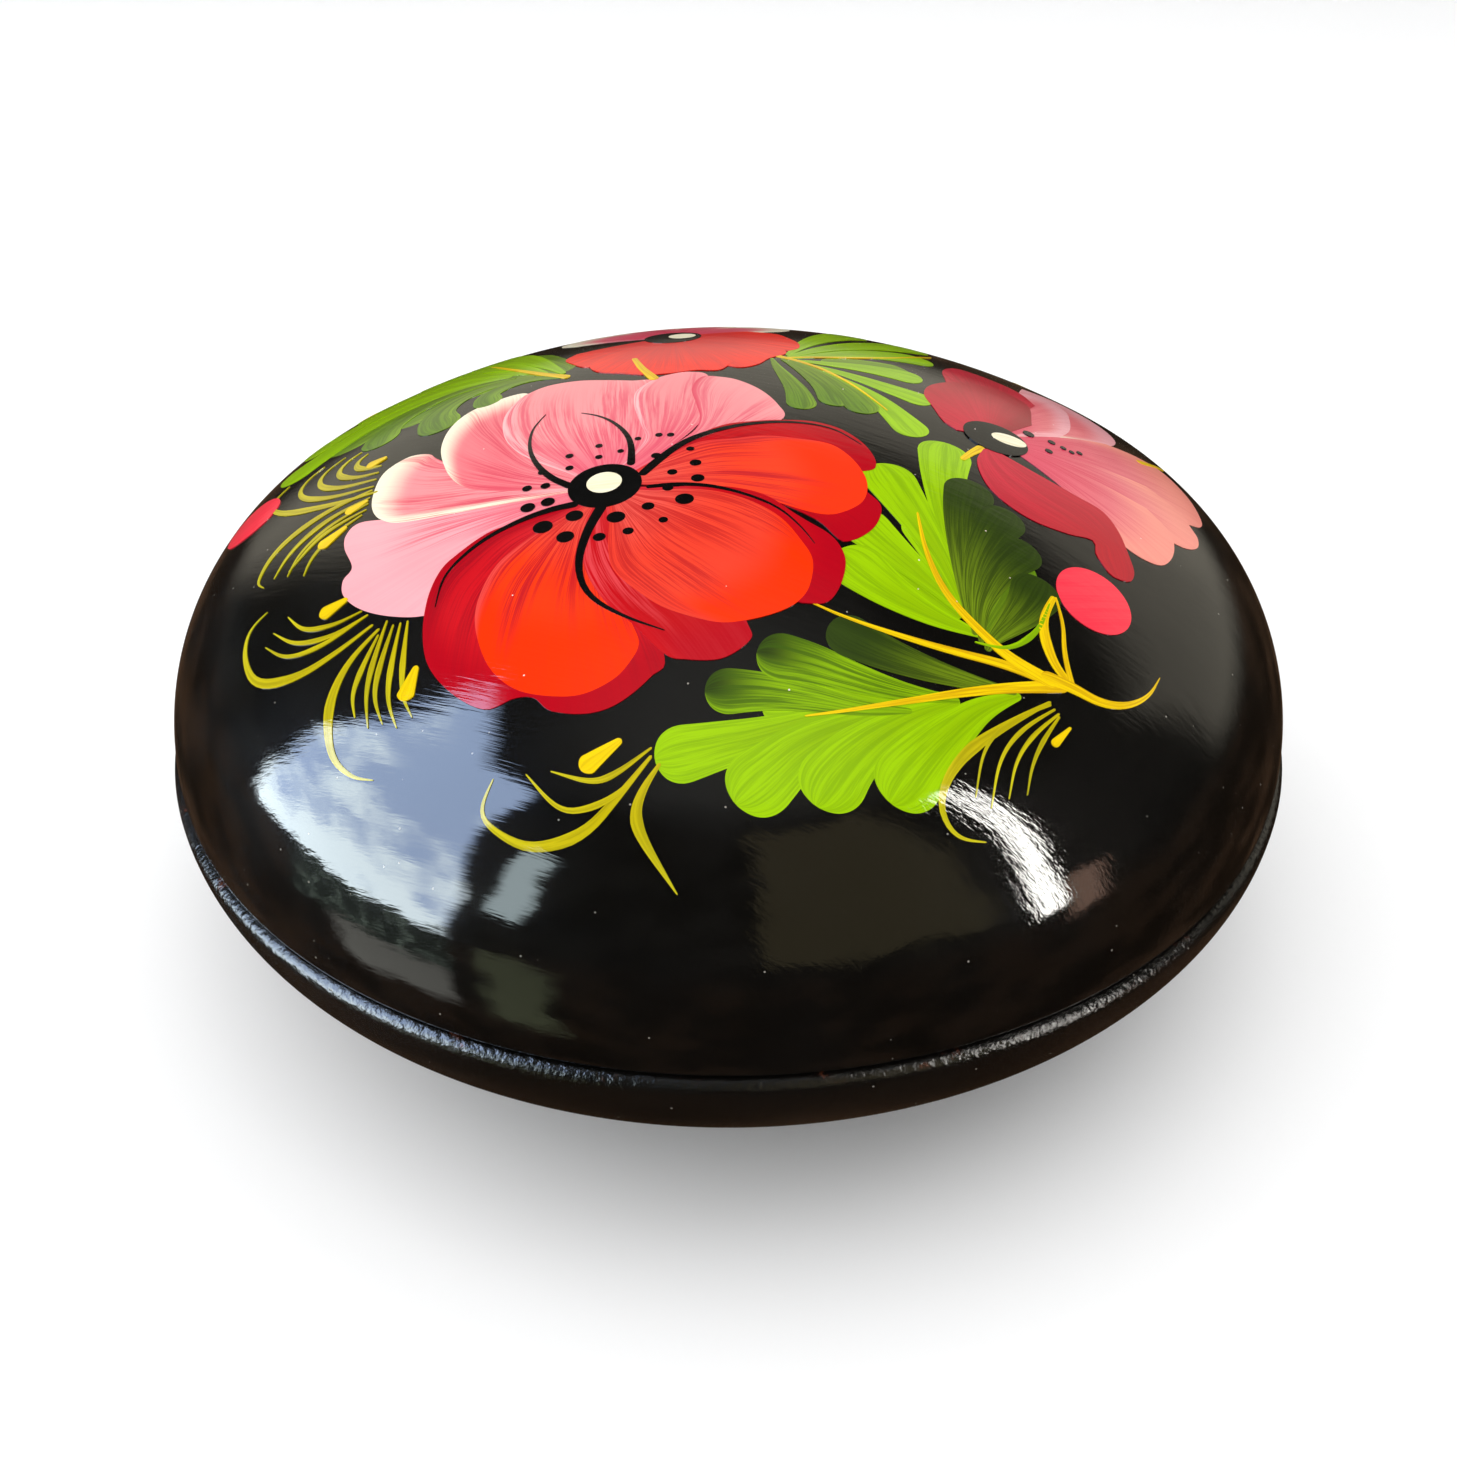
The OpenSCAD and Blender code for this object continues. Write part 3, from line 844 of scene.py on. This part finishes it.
def eyes(film):
    ink = plain(BLACK, BLACK * 1.5)
    for centre, rx, ry in ((MAIN, 4.9, 4.6), (SIDE, 4.9, 4.7), (BACK, 4.6, 5)):
        dab(film, centre, rx, ry, 0, 0.172, BLACK, BLACK * 1.4, 21)
    for knots, widths in (
        ([(225, 4.6), (207, 8.1), (204, 12.6), (205, 17), (208, 20.9), (212, 24.4), (220, 27.6)],
         [1.2, 1.1, 0.9, 0.7, 0.5, 0.35, 0.12]),
        ([(270, 4), (258, 9), (259, 15), (266, 20), (278, 24), (288, 27.5)], [1.5, 1.4, 1.3, 1, 0.5, 0.15]),
        ([(348, 5.6), (355, 10), (354, 14.4), (350, 19.1), (346, 23.4), (340, 27.2), (336, 29.6)],
         [0.7, 0.8, 0.7, 0.5, 0.32, 0.2, 0.1]),
        ([(17, 4.9), (35, 8.7), (41, 13.5), (39, 18.4), (35, 23.7), (30, 29), (24, 33.5), (16, 35.6)],
         [1.2, 1.3, 0.9, 0.5, 0.3, 0.2, 0.16, 0.1]),
        ([(173, 4.5), (158, 7.9), (145, 11.9), (135, 15.9), (125, 20), (118, 22.2), (115, 23.2)],
         [1.1, 1.1, 0.9, 0.7, 0.45, 0.25, 0.1]),
        ([(50, 5.1), (68, 8.7), (78, 11.9), (88, 15.3), (96, 18.1), (103, 20.1)],
         [1.1, 1.1, 0.9, 0.5, 0.25, 0.1]),
    ):
        stroke(film, polar(MAIN, about(knots)), widths, 0.168, ink)
    for angle, distance, size in (
        (194, 10.4, 0.9), (195, 7.7, 0.85), (222, 10.4, 1.2), (237, 6.7, 1.05), (244, 10.5, 1.05),
        (269, 10.2, 0.75), (285, 7, 1.1), (290, 10.2, 0.65), (319, 7.8, 0.75), (315, 11.2, 0.55),
        (339, 11.3, 1.1), (349, 8.5, 0.65), (1, 12.2, 0.8), (11, 9, 0.6), (17, 12.4, 0.7), (32, 13.1, 0.5),
        (41, 8.7, 0.6), (171, 10.7, 0.6), (169, 8.2, 0.6), (151, 10, 0.55), (136, 7, 0.5), (124, 9.4, 0.5),
        (100, 6.7, 0.45), (98, 9.5, 0.45),
        (77, 7.7, 0.4), (69, 11, 0.4), (58, 12.8, 0.45), (52, 13.6, 0.45),
    ):
        dab(film, polar(MAIN, [(angle, distance)])[0], size * 1.1, size * 0.95, 0, 0.17, BLACK)
    for place, size in (
        ((44.5, 0.6), 0.9), ((47, -3.4), 0.6), ((48.2, 0.4), 0.6), ((50, -0.2), 0.5), ((51.3, -0.6), 0.45),
        ((52.8, 0.3), 0.5),
    ):
        dab(film, place, size, size, 0, 0.17, BLACK)


def pips(film):
    for centre, rx, ry in (((-16.3, -23.6), 2.35, 2.2), ((40.6, -4), 2.7, 1.7), ((-7.5, 29.6), 2.2, 2.3)):
        dab(film, centre, rx, ry, 0, 0.182, CREAM, srgb(235, 225, 190), 15)


LIME_LOBE = fade(LIME, srgb(140, 180, 0), 0.1, 0.6, 0.5, srgb(108, 146, 2), left=LIME, right=LIME)
SHADED_LOBE = fade(
    srgb(40, 56, 8), srgb(134, 176, 2), 0.02, 0.42, 0.75, srgb(56, 86, 6), left=srgb(132, 174, 2),
)
DARK_LOBE = fade(srgb(46, 64, 14), srgb(110, 136, 20), 0.15, 0.8, 0.75, srgb(38, 54, 12))
MID_LOBE = fade(
    srgb(96, 134, 14), srgb(112, 142, 20), 0.1, 0.7, 0.6, srgb(60, 86, 14), left=srgb(126, 164, 20),
)


def lobe(film, knots, width, lift, colours):
    """A leaf lobe: a fat touch of the brush at its tip, drawn in to the rib."""
    widths = [width * part for part in (1, 1.02, 0.96, 0.8, 0.5, 0.1)]
    stroke(film, knots, widths, lift, colours, 15, 48)


def light_leaves(film):
    for knots, widths, colours in (
        ([(-64, 10), (-54, 17), (-43, 20), (-33, 17)], [9, 11, 11, 4], MID_LOBE),
        ([(-52, 9), (-45, 14), (-37, 16), (-30, 14)], [7, 9, 8, 4], MID_LOBE),
        ([(-37, 32), (-31, 23), (-25, 14)], [8, 10, 6], MID_LOBE),
        ([(28, 14), (21, 15), (14, 14)], [7, 8, 4], MID_LOBE),
        ([(38.4, -33), (35, -40), (31.6, -47)], [7, 6, 3], MID_LOBE),
        ([(24, -29), (27, -37), (29.6, -45)], [6, 5, 2], LIME_LOBE),
        ([(18, -36), (23.6, -41), (29, -45.6)], [5, 5, 3], LIME_LOBE),
        ([(4, -61.4), (12, -60.8), (20, -60), (27, -58.4)], [3, 6, 6, 3], LIME_LOBE),
        ([(8, -56.6), (14, -58), (20, -59)], [3, 5, 4], LIME_LOBE),
    ):
        stroke(film, knots, widths, 0.008, colours, 15, 48)
    for knots, width, lift in (
        ([(-8.6, -67.6), (-3, -66.4), (4, -64.6), (10, -62.3), (16, -60.5)], 8, 0.024),
        ([(0.8, -73), (4.6, -69.6), (8.5, -65.8), (14.5, -62.6), (22, -59.6)], 9.4, 0.030),
        ([(10.2, -73), (13.2, -68.2), (17, -64.4), (22, -60.8), (28, -58)], 9.4, 0.036),
        ([(19, -72), (22.6, -67), (27, -62), (31, -58.2), (36, -55.6)], 9.6, 0.042),
        ([(30.4, -9.8), (29, -18), (28.6, -27), (28.8, -36), (29.2, -43.4)], 8.2, 0.024),
        ([(20, -18.4), (22.4, -24.5), (25.2, -31.2), (27.6, -37.1), (29.4, -44)], 8.6, 0.030),
        ([(15.4, -29.6), (19.4, -34.4), (23.6, -38.8), (26.7, -41.9), (30, -45.6)], 8, 0.036),
        ([(13.8, -37), (18.6, -41.8), (23, -44.8), (27, -46.6), (31.5, -47.8)], 9, 0.042),
        ([(26.6, -9.6), (24, -4.4), (21.5, 0.5), (18, 5), (13.5, 9.5)], 6, 0.024),
        ([(29.8, 2.6), (25.4, 4.6), (20.5, 7.2), (16, 9.8), (11.5, 12.2)], 5.4, 0.030),
        ([(29.6, 12.4), (24.4, 13.2), (19, 13.4), (14.5, 13.2), (10, 13.6)], 6.4, 0.036),
        ([(33, 27), (27, 25), (21, 22), (15, 18), (9.5, 14.5)], 8, 0.042),
        ([(33, 41), (26.5, 34), (19.5, 27), (14, 21), (9, 15)], 8, 0.048),
        ([(22, 45), (18.5, 38), (14.5, 30), (11.5, 23), (9, 16)], 7.4, 0.054),
        ([(-72.5, 7.6), (-65, 13.4), (-57, 18.4), (-47, 21), (-36, 18)], 9, 0.024),
        ([(-72, 19), (-64, 23), (-55, 25), (-45, 24), (-34, 18)], 9.4, 0.030),
        ([(-65, 31), (-57, 32), (-48, 30), (-40, 25), (-31, 17)], 8.6, 0.036),
        ([(-54, 40), (-48, 37.5), (-41, 32.5), (-35, 25), (-28, 15)], 8.6, 0.042),
        ([(-44, 46), (-39.5, 39.5), (-34, 31), (-29.5, 22), (-25, 13)], 8, 0.044),
    ):
        lobe(film, knots, width, lift, LIME_LOBE)
    edge = [(30.5, -49), (34.9, -49.4), (39.3, -45.4), (41.4, -40)]
    stroke(film, edge, [0.2, 0.8, 0.8, 0.2], 0.07, plain(LIME, LEAF))


def dark_leaves(film):
    for knots, width, lift, colours in (
        ([(-2.8, -59), (3.9, -58.8), (10, -59.6), (16, -60.6), (22, -60.2)], 6.6, 0.056, SHADED_LOBE),
        ([(3.4, -53.6), (9.5, -54.6), (15.1, -56.5), (21.1, -57.8), (28, -57.9)], 7.2, 0.062, SHADED_LOBE),
        ([(12.2, -49.2), (17.8, -52.2), (23.6, -54), (29.5, -55), (35.5, -55.4)], 6.8, 0.068, DARK_LOBE),
        ([(33.2, -18.6), (31.2, -25.6), (30.2, -33.2), (29.9, -40.8), (30.2, -47)], 7.6, 0.056, DARK_LOBE),
        ([(38, -23.6), (34.4, -29.8), (32, -35.6), (30.7, -41), (30.6, -48)], 7, 0.062, DARK_LOBE),
        ([(40.2, -30), (36.2, -34.4), (33.4, -39.2), (31.6, -43.8), (31.4, -49)], 6.6, 0.068, DARK_LOBE),
        ([(41, -36), (38.6, -41), (35.6, -45), (33, -48), (32, -50)], 8.2, 0.074, DARK_LOBE),
        ([(10.4, -5.6), (10, 0), (8.4, 5.6), (7, 10.4), (6.5, 14)], 4.6, 0.066, MID_LOBE),
        ([(15.6, -3.6), (14.4, 2), (12, 7), (10, 10.6), (8, 14)], 5.4, 0.072, MID_LOBE),
        ([(19.6, -5), (18.2, -0.6), (16, 4), (13, 9), (9, 13.6)], 5.6, 0.078, MID_LOBE),
        ([(-53.4, 3.2), (-54, 9), (-50.4, 14.6), (-43, 18.4), (-33, 16.6)], 7, 0.056, MID_LOBE),
        ([(-42.2, 0.6), (-45, 7.4), (-42, 13.4), (-35.6, 15.6), (-28, 13.2)], 7.4, 0.062, MID_LOBE),
        ([(-35.6, 5.4), (-37.2, 10.2), (-33.6, 13.2), (-29.6, 13.4), (-25, 11)], 5, 0.068, MID_LOBE),
    ):
        lobe(film, knots, width, lift, colours)


STEM = plain(YELLOW, srgb(206, 160, 6))


def stems(film):
    for knots, widths in (
        ([(42.5, -52.8), (34, -55), (27, -57.2), (22, -58.8), (14, -61), (9, -62)],
         [1.6, 1.7, 1.2, 0.5, 0.2]),
        ([(9.5, -45.6), (14, -47.8), (20, -49.6), (27, -51), (35, -51.6), (40.5, -52.8)],
         [0.2, 0.8, 1.4, 1.5, 1.6]),
        ([(24.6, -28), (25, -35), (27, -42), (31, -47), (35, -50.6), (41, -52.9)],
         [0.3, 0.8, 1.5, 1.8, 1.9]),
        ([(42.2, -38.6), (40.2, -42.6), (40, -46), (41, -50), (43, -52.4)], [0.8, 1.5, 1.3, 1.1, 1]),
        ([(42.4, -38.6), (43, -43), (42.6, -47), (42.8, -50), (43.2, -52.4)], [0.3, 0.5, 0.7, 0.8, 0.8]),
        ([(39, -52), (43, -52.6), (47, -54), (51, -53.2), (54.6, -50.4), (56.6, -46.8)],
         [1.8, 1.9, 1.5, 0.9, 0.4, 0.1]),
        ([(36, -8.6), (34, -11), (32.2, -13.6)], [1.5, 1.2, 0.8]),
        ([(7, 15.6), (13, 11.4), (17.4, 6), (20.6, 0.6), (22.6, -3)], [1, 0.9, 0.7, 0.5, 0.2]),
        ([(-24, 10.6), (-29, 15), (-35.6, 24), (-40, 33)], [1.4, 1.2, 0.8, 0.3]),
        ([(9, 14.6), (19, 18), (27, 23.4), (34, 33)], [0.5, 0.6, 0.6, 0.3]),
        ([(66, 10.4), (69, 12.6), (73, 16)], [1.2, 1.3, 0.6]),
        ([(-62, 34), (-68, 36), (-70, 44)], [0.8, 1.2, 0.6]),
        ([(52, 46), (60, 47), (66, 40)], [0.8, 1.2, 0.4]),
    ):
        stroke(film, knots, widths, 0.1, STEM)
    stroke(film, [(-14.4, 15.6), (-13, 10), (-10.6, 4.6)], [0.8, 1.3, 1.5], 0.15, STEM)


def sprays(film):
    fine = fade(srgb(188, 172, 6), srgb(206, 196, 30), 0.2, 1, 0.45, srgb(120, 112, 6))
    fat = [0.4, 0.9, 1.4, 1.5, 1.1, 0.6, 0.3, 0.15]
    middling = [0.3, 0.8, 1.25, 1.15, 0.8, 0.45, 0.15]
    thin = [0.25, 0.6, 0.85, 0.7, 0.4, 0.15]
    hair = [0.3, 0.5, 0.6, 0.45, 0.25, 0.12]
    for widths, lines in (
        (fat, (
            [(40, -55.6), (34, -60), (29, -64), (26, -68), (25, -71.4), (26, -74), (28, -75.2), (31, -75)],
            [(-9, -67), (-13, -72), (-17, -76), (-23, -77), (-27, -75), (-30, -72), (-28, -68)],
            [(-8, -68), (-10, -71), (-11, -74), (-10, -77), (-6, -83)],
            [(-45, -43), (-49, -47), (-51, -52), (-51, -57), (-50, -61), (-47, -64), (-44, -65)],
            [(-46, -42), (-51, -45), (-57, -47), (-64, -45), (-67, -39), (-67, -34), (-64, -32)],
            [(-51, -12), (-59, -13), (-66, -17), (-68, -24), (-66, -26)],
            [(-50, -13), (-57, -12), (-66, -8), (-71, -3), (-72, 2), (-70, 5)],
        )),
        (middling, (
            [(-51, -11), (-58, -9.5), (-64, -5.5), (-66.5, -1), (-66, 3), (-63.5, 5.5)],
            [(-51, -9), (-57, -7.5), (-61.5, -4), (-63, 0), (-62, 3), (-59.5, 5)],
            [(-51, -7), (-55, -6), (-58.5, -3), (-59.5, 0), (-58.5, 2.6), (-56.4, 4)],
            [(-51, -5), (-54, -4), (-56, -2), (-56.2, 0.5), (-54.8, 2)],
            [(-51, -14), (-58, -15.5), (-63, -20), (-64.5, -25)],
        )),
        (hair, (
            [(40, -56), (34, -59.5), (30.5, -64), (29.5, -70)],
            [(40.5, -56.5), (35.5, -60.5), (32.5, -65), (31.5, -71)],
            [(41, -57), (37, -61), (34.6, -65), (33.8, -69.5)],
            [(41, -57.4), (38.4, -61.4), (36.8, -65), (36.2, -68.6)],
        )),
        (thin, (
            [(-9, -66), (-13, -69), (-16, -70), (-21, -68)],
            [(-9, -67), (-12, -71), (-16, -73), (-20, -73), (-24, -68)],
            [(-45, -44), (-48, -52), (-47, -56)],
            [(-44, -42), (-46, -52), (-45, -58)],
            [(-43, -43), (-45, -53), (-43, -58)],
            [(-42, -43), (-43, -54), (-41, -59)],
            [(-41, -43), (-41, -54), (-39, -58)],
            [(-47, -40), (-53, -43), (-59, -43), (-63, -39)],
            [(-47, -40), (-52, -42), (-58, -41), (-62, -37)],
            [(-48, -39), (-52, -40), (-57, -39), (-60, -35)],
            [(-51, -15.5), (-57, -17.5), (-61, -21.5), (-62, -26)],
            [(-51, -17), (-58, -19), (-62, -25)],
            [(-51.5, -18), (-56, -20.5), (-58.5, -24), (-59, -27.5)],
        )),
    ):
        for knots in lines:
            stroke(film, knots, widths, 0.1, fine, 7, 48)
    for a, b, width in (
        ((42.4, -58.6), (39.8, -61.6), 1.1),
        ((-12.6, -64.8), (-17.4, -68.2), 2.6),
        ((-39, -50.6), (-40.4, -55.4), 2.4),
        ((-50.6, -35.8), (-54.6, -37.4), 2.6),
        ((-50.6, -2.6), (-53.8, -3.6), 2.4),
        ((-53.6, -19.6), (-57.6, -22.4), 2.4),
        ((-51.2, -14.6), (-54.6, -16), 2),
    ):
        middle = ((a[0] + b[0]) / 2, (a[1] + b[1]) / 2)
        widths = [width * 0.3, width, width * 0.9]
        stroke(film, [a, middle, b], widths, 0.125, plain(YELLOW, YELLOW * 0.8), 9, 24)


def buds(film):
    for centre in ((48.2, -37), (-75.4, -1.6), (-62, 50)):
        dab(film, centre, 5.4, 5.6, 20, 0.12, CORAL, srgb(246, 52, 72), 21)


# Each coat's own function, its piece, the CAD node that it stands for and its slot.
COATS = (
    (light_leaves, "light_leaf_lobes", "light_leaves", "light_green_paint"),
    (dark_leaves, "dark_leaf_lobes", "dark_leaves", "dark_green_paint"),
    (stems, "yellow_stem_lines", "yellow_stems", "yellow_paint"),
    (sprays, "yellow_spray_lines", "yellow_sprays", "yellow_paint"),
    (buds, "coral_bud_dots", "coral_buds", "coral_paint"),
    (main_flower_pink, "main_flower_pink_petals", "main_pink_petals", "pink_paint"),
    (main_flower_crimson, "main_flower_crimson_petals", "main_crimson_petals", "crimson_paint"),
    (main_flower_orange, "main_flower_orange_petals", "main_orange_petals", "orange_paint"),
    (side_flower_pink, "side_flower_pink_petals", "side_pink_petals", "pink_paint"),
    (side_flower_crimson, "side_flower_crimson_petals", "side_crimson_petals", "crimson_paint"),
    (back_flower_pink, "back_flower_pink_petals", "back_pink_petals", "pink_paint"),
    (back_flower_crimson, "back_flower_crimson_petals", "back_crimson_petals", "crimson_paint"),
    (eyes, "flower_eyes_and_lines", "flower_eyes", "black_paint"),
    (pips, "flower_pips_cream", "flower_pips", "cream_paint"),
)


# ---------------- studio
def world():
    made = bpy.data.worlds.new("studio")
    bpy.context.scene.world = made
    made.use_nodes = True
    made.node_tree.nodes["Background"].inputs[0].default_value = (1, 1, 1, 1)
    made.node_tree.nodes["Background"].inputs[1].default_value = 0.62
    made.cycles_visibility.glossy = False


def floor():
    """A pale floor that the lacquer doesn't mirror."""
    mesh = bpy.data.meshes.new("floor")
    r = 6.0
    mesh.from_pydata([(-r, -r, 0), (r, -r, 0), (r, r, 0), (-r, r, 0)], [], [(0, 1, 2, 3)])
    material, tree = new_material("floor")
    pale = (0.95, 0.95, 0.95)
    shader = add(tree, "ShaderNodeBsdfPrincipled", Base_Color=pale, Roughness=0.8, Specular_IOR_Level=0.2)
    add(tree, "ShaderNodeOutputMaterial", Surface=shader.outputs[0])
    piece = show("floor", mesh, material)
    piece.visible_glossy = False


def soft_box(name, azimuth, elevation, distance, size, power):
    """An area light that faces the object and lights it without showing in the lacquer."""
    data = bpy.data.lights.new(name, "AREA")
    data.shape = "RECTANGLE"
    data.size, data.size_y = size
    data.energy = power
    light = bpy.data.objects.new(name, data)
    a, e = math.radians(azimuth), math.radians(elevation)
    light.location = (
        distance * math.sin(a) * math.cos(e), distance * math.cos(a) * math.cos(e), distance * math.sin(e),
    )
    light.rotation_euler = (math.pi / 2 - e, 0, math.pi - a)
    bpy.context.scene.collection.objects.link(light)
    light.visible_glossy = False


def surround():
    """What the lacquer mirrors: a dim room with a window on the left and a bright slot on the right."""
    r = 3.0
    mesh = turned_mesh("surround", arc(0, 0, r / MM, 90, -90, 33), 64)
    material, tree = new_material("surround")
    place = object_place(tree)
    x, y, z = add(tree, "ShaderNodeSeparateXYZ", Vector=place).outputs
    azimuth = math_node(tree, "MULTIPLY", math_node(tree, "ARCTAN2", x, y), 180 / math.pi)
    level = math_node(tree, "SQRT", math_node(tree, "SUBTRACT", r * r, math_node(tree, "MULTIPLY", z, z)))
    elevation = math_node(tree, "MULTIPLY", math_node(tree, "ARCTAN2", z, level), 180 / math.pi)
    ragged = math_node(tree, "SUBTRACT", noise(tree, place, 2.2, 6, 0.65), 0.5)

    def between(value, low, high, soft):
        a = ramp(tree, value, low - soft, low + soft)
        b = math_node(tree, "SUBTRACT", 1.0, ramp(tree, value, high - soft, high + soft))
        return math_node(tree, "MULTIPLY", a, b)

    def opening(left, right, low, high, soft=1.5, torn_sides=0.0, torn_foot=0.0, lean=0.0):
        """A patch of the room between two azimuths and two elevations, in degrees, with torn edges.
        Azimuth 0 is +Y; lean moves the sides with each degree of elevation above 16."""
        side = math_node(tree, "ADD", azimuth, math_node(tree, "MULTIPLY", ragged, torn_sides))
        raised = math_node(tree, "MAXIMUM", math_node(tree, "SUBTRACT", elevation, 16.0), 0.0)
        side = math_node(tree, "ADD", side, math_node(tree, "MULTIPLY", raised, lean))
        foot = math_node(tree, "ADD", elevation, math_node(tree, "MULTIPLY", ragged, torn_foot))
        return math_node(tree, "MULTIPLY", between(side, left, right, soft), between(foot, low, high, soft))

    patchy = ramp(tree, noise(tree, place, 1.6, 4, 0.6), 0.42, 0.62)
    ground = mix_colour(tree, patchy, (0.02, 0.012, 0.007), (0.09, 0.05, 0.028))
    walls = mix_colour(tree, patchy, (0.012, 0.012, 0.010), (0.05, 0.047, 0.04))
    colour = mix_colour(tree, ramp(tree, elevation, -8, 6), ground, walls)
    colour = mix_colour(tree, ramp(tree, elevation, 58, 84), colour, (0.28, 0.28, 0.26))
    trees = ramp(tree, noise(tree, place, 7, 4, 0.7), 0.5, 0.68)
    trees = mix_colour(tree, trees, (0.10, 0.14, 0.11), (0.9, 1.15, 0.95))
    higher = math_node(tree, "MULTIPLY", elevation, 0.007)
    drift = math_node(tree, "SUBTRACT", noise(tree, place, 1.6, 5, 0.6), higher)
    sky = mix_colour(tree, ramp(tree, drift, 0.22, 0.52), (4.4, 5.8, 8.6), (10.5, 12.2, 13.0))
    for patch, tint in (
        (opening(-45, 76, 2, 34, 6), (0.58, 0.54, 0.44)),  # far wall
        (opening(134, 174, 6, 62, 2.5, 14, 24), (0.32, 0.27, 0.15)),  # dim door
        (opening(-131, -98, -16, 3, 2, 8, 12), trees),
        (opening(-131, -108, -28, -15, 2, 8, 8), (1.0, 1.0, 0.9)),  # window sill
        (opening(-150, -138, -30, -4, 3, 12, 14), (0.5, 0.56, 0.32)),  # plant
        (opening(-131, -85, -1, 59, 1.6, 6, 14, -0.3), sky),
        (opening(-143, -135.5, 13, 40, 1.5, 10, 14), (4.4, 5.4, 5.6)),  # narrow pane
        (opening(120, 125, 1, 58, 1, 3, 8, 0.22), (24, 23.4, 22)),  # bright slot
        (opening(111, 118.5, -6, 10, 1.2, 6, 12), (1.7, 1.05, 0.78)),  # copper glint
    ):
        colour = mix_colour(tree, patch, colour, tint)
    glow = add(tree, "ShaderNodeEmission", Color=colour)
    add(tree, "ShaderNodeOutputMaterial", Surface=glow.outputs[0])
    material.cycles.emission_sampling = "NONE"
    piece = show("surround", mesh, material)
    piece.location = (0, 0, 0.05)
    piece.visible_camera = False
    piece.visible_diffuse = False
    piece.visible_transmission = False
    piece.visible_shadow = False
    piece.visible_volume_scatter = False


def camera():
    """The photograph's view: distance and rise place the lens from the middle of the seam, and pitch is
    how far it looks down."""
    distance = 0.2277
    rise = math.radians(33.77)
    pitch = math.radians(36.40)
    data = bpy.data.cameras.new("camera")
    data.sensor_width = 36
    data.lens = 34.6
    data.clip_start = 0.01
    cam = bpy.data.objects.new("camera", data)
    cam.location = (0, -distance * math.cos(rise), SEAM_Z * MM + distance * math.sin(rise))
    cam.rotation_euler = (math.pi / 2 - pitch, 0, 0)
    bpy.context.scene.collection.objects.link(cam)
    bpy.context.scene.camera = cam


# ---------------- assembly
gloss_lacquer = lacquer_material("black_lacquer", satin=False)
satin_lacquer = lacquer_material("black_lacquer_satin", satin=True)
paint = paint_material()

lid = finish_mesh("lid_turned", turned_mesh("lid_turned", lid_profile()), gloss_lacquer, "lid")
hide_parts("lid")
base = finish_mesh("base_turned", turned_mesh("base_turned", base_profile()), satin_lacquer, "base")
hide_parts("base")

for draw, name, node, slot in COATS:
    film = Film()
    draw(film)
    coat = film.build(name, paint)
    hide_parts(node)

world()
floor()
surround()
soft_box("key", -150, 65, 1.2, (1.4, 1.4), 9)
soft_box("fill", 60, 60, 1.4, (1.6, 1.6), 6)
soft_box("side", -75, 28, 1.4, (1.2, 1.2), 5)
camera()
bpy.context.scene.view_settings.view_transform = "Standard"
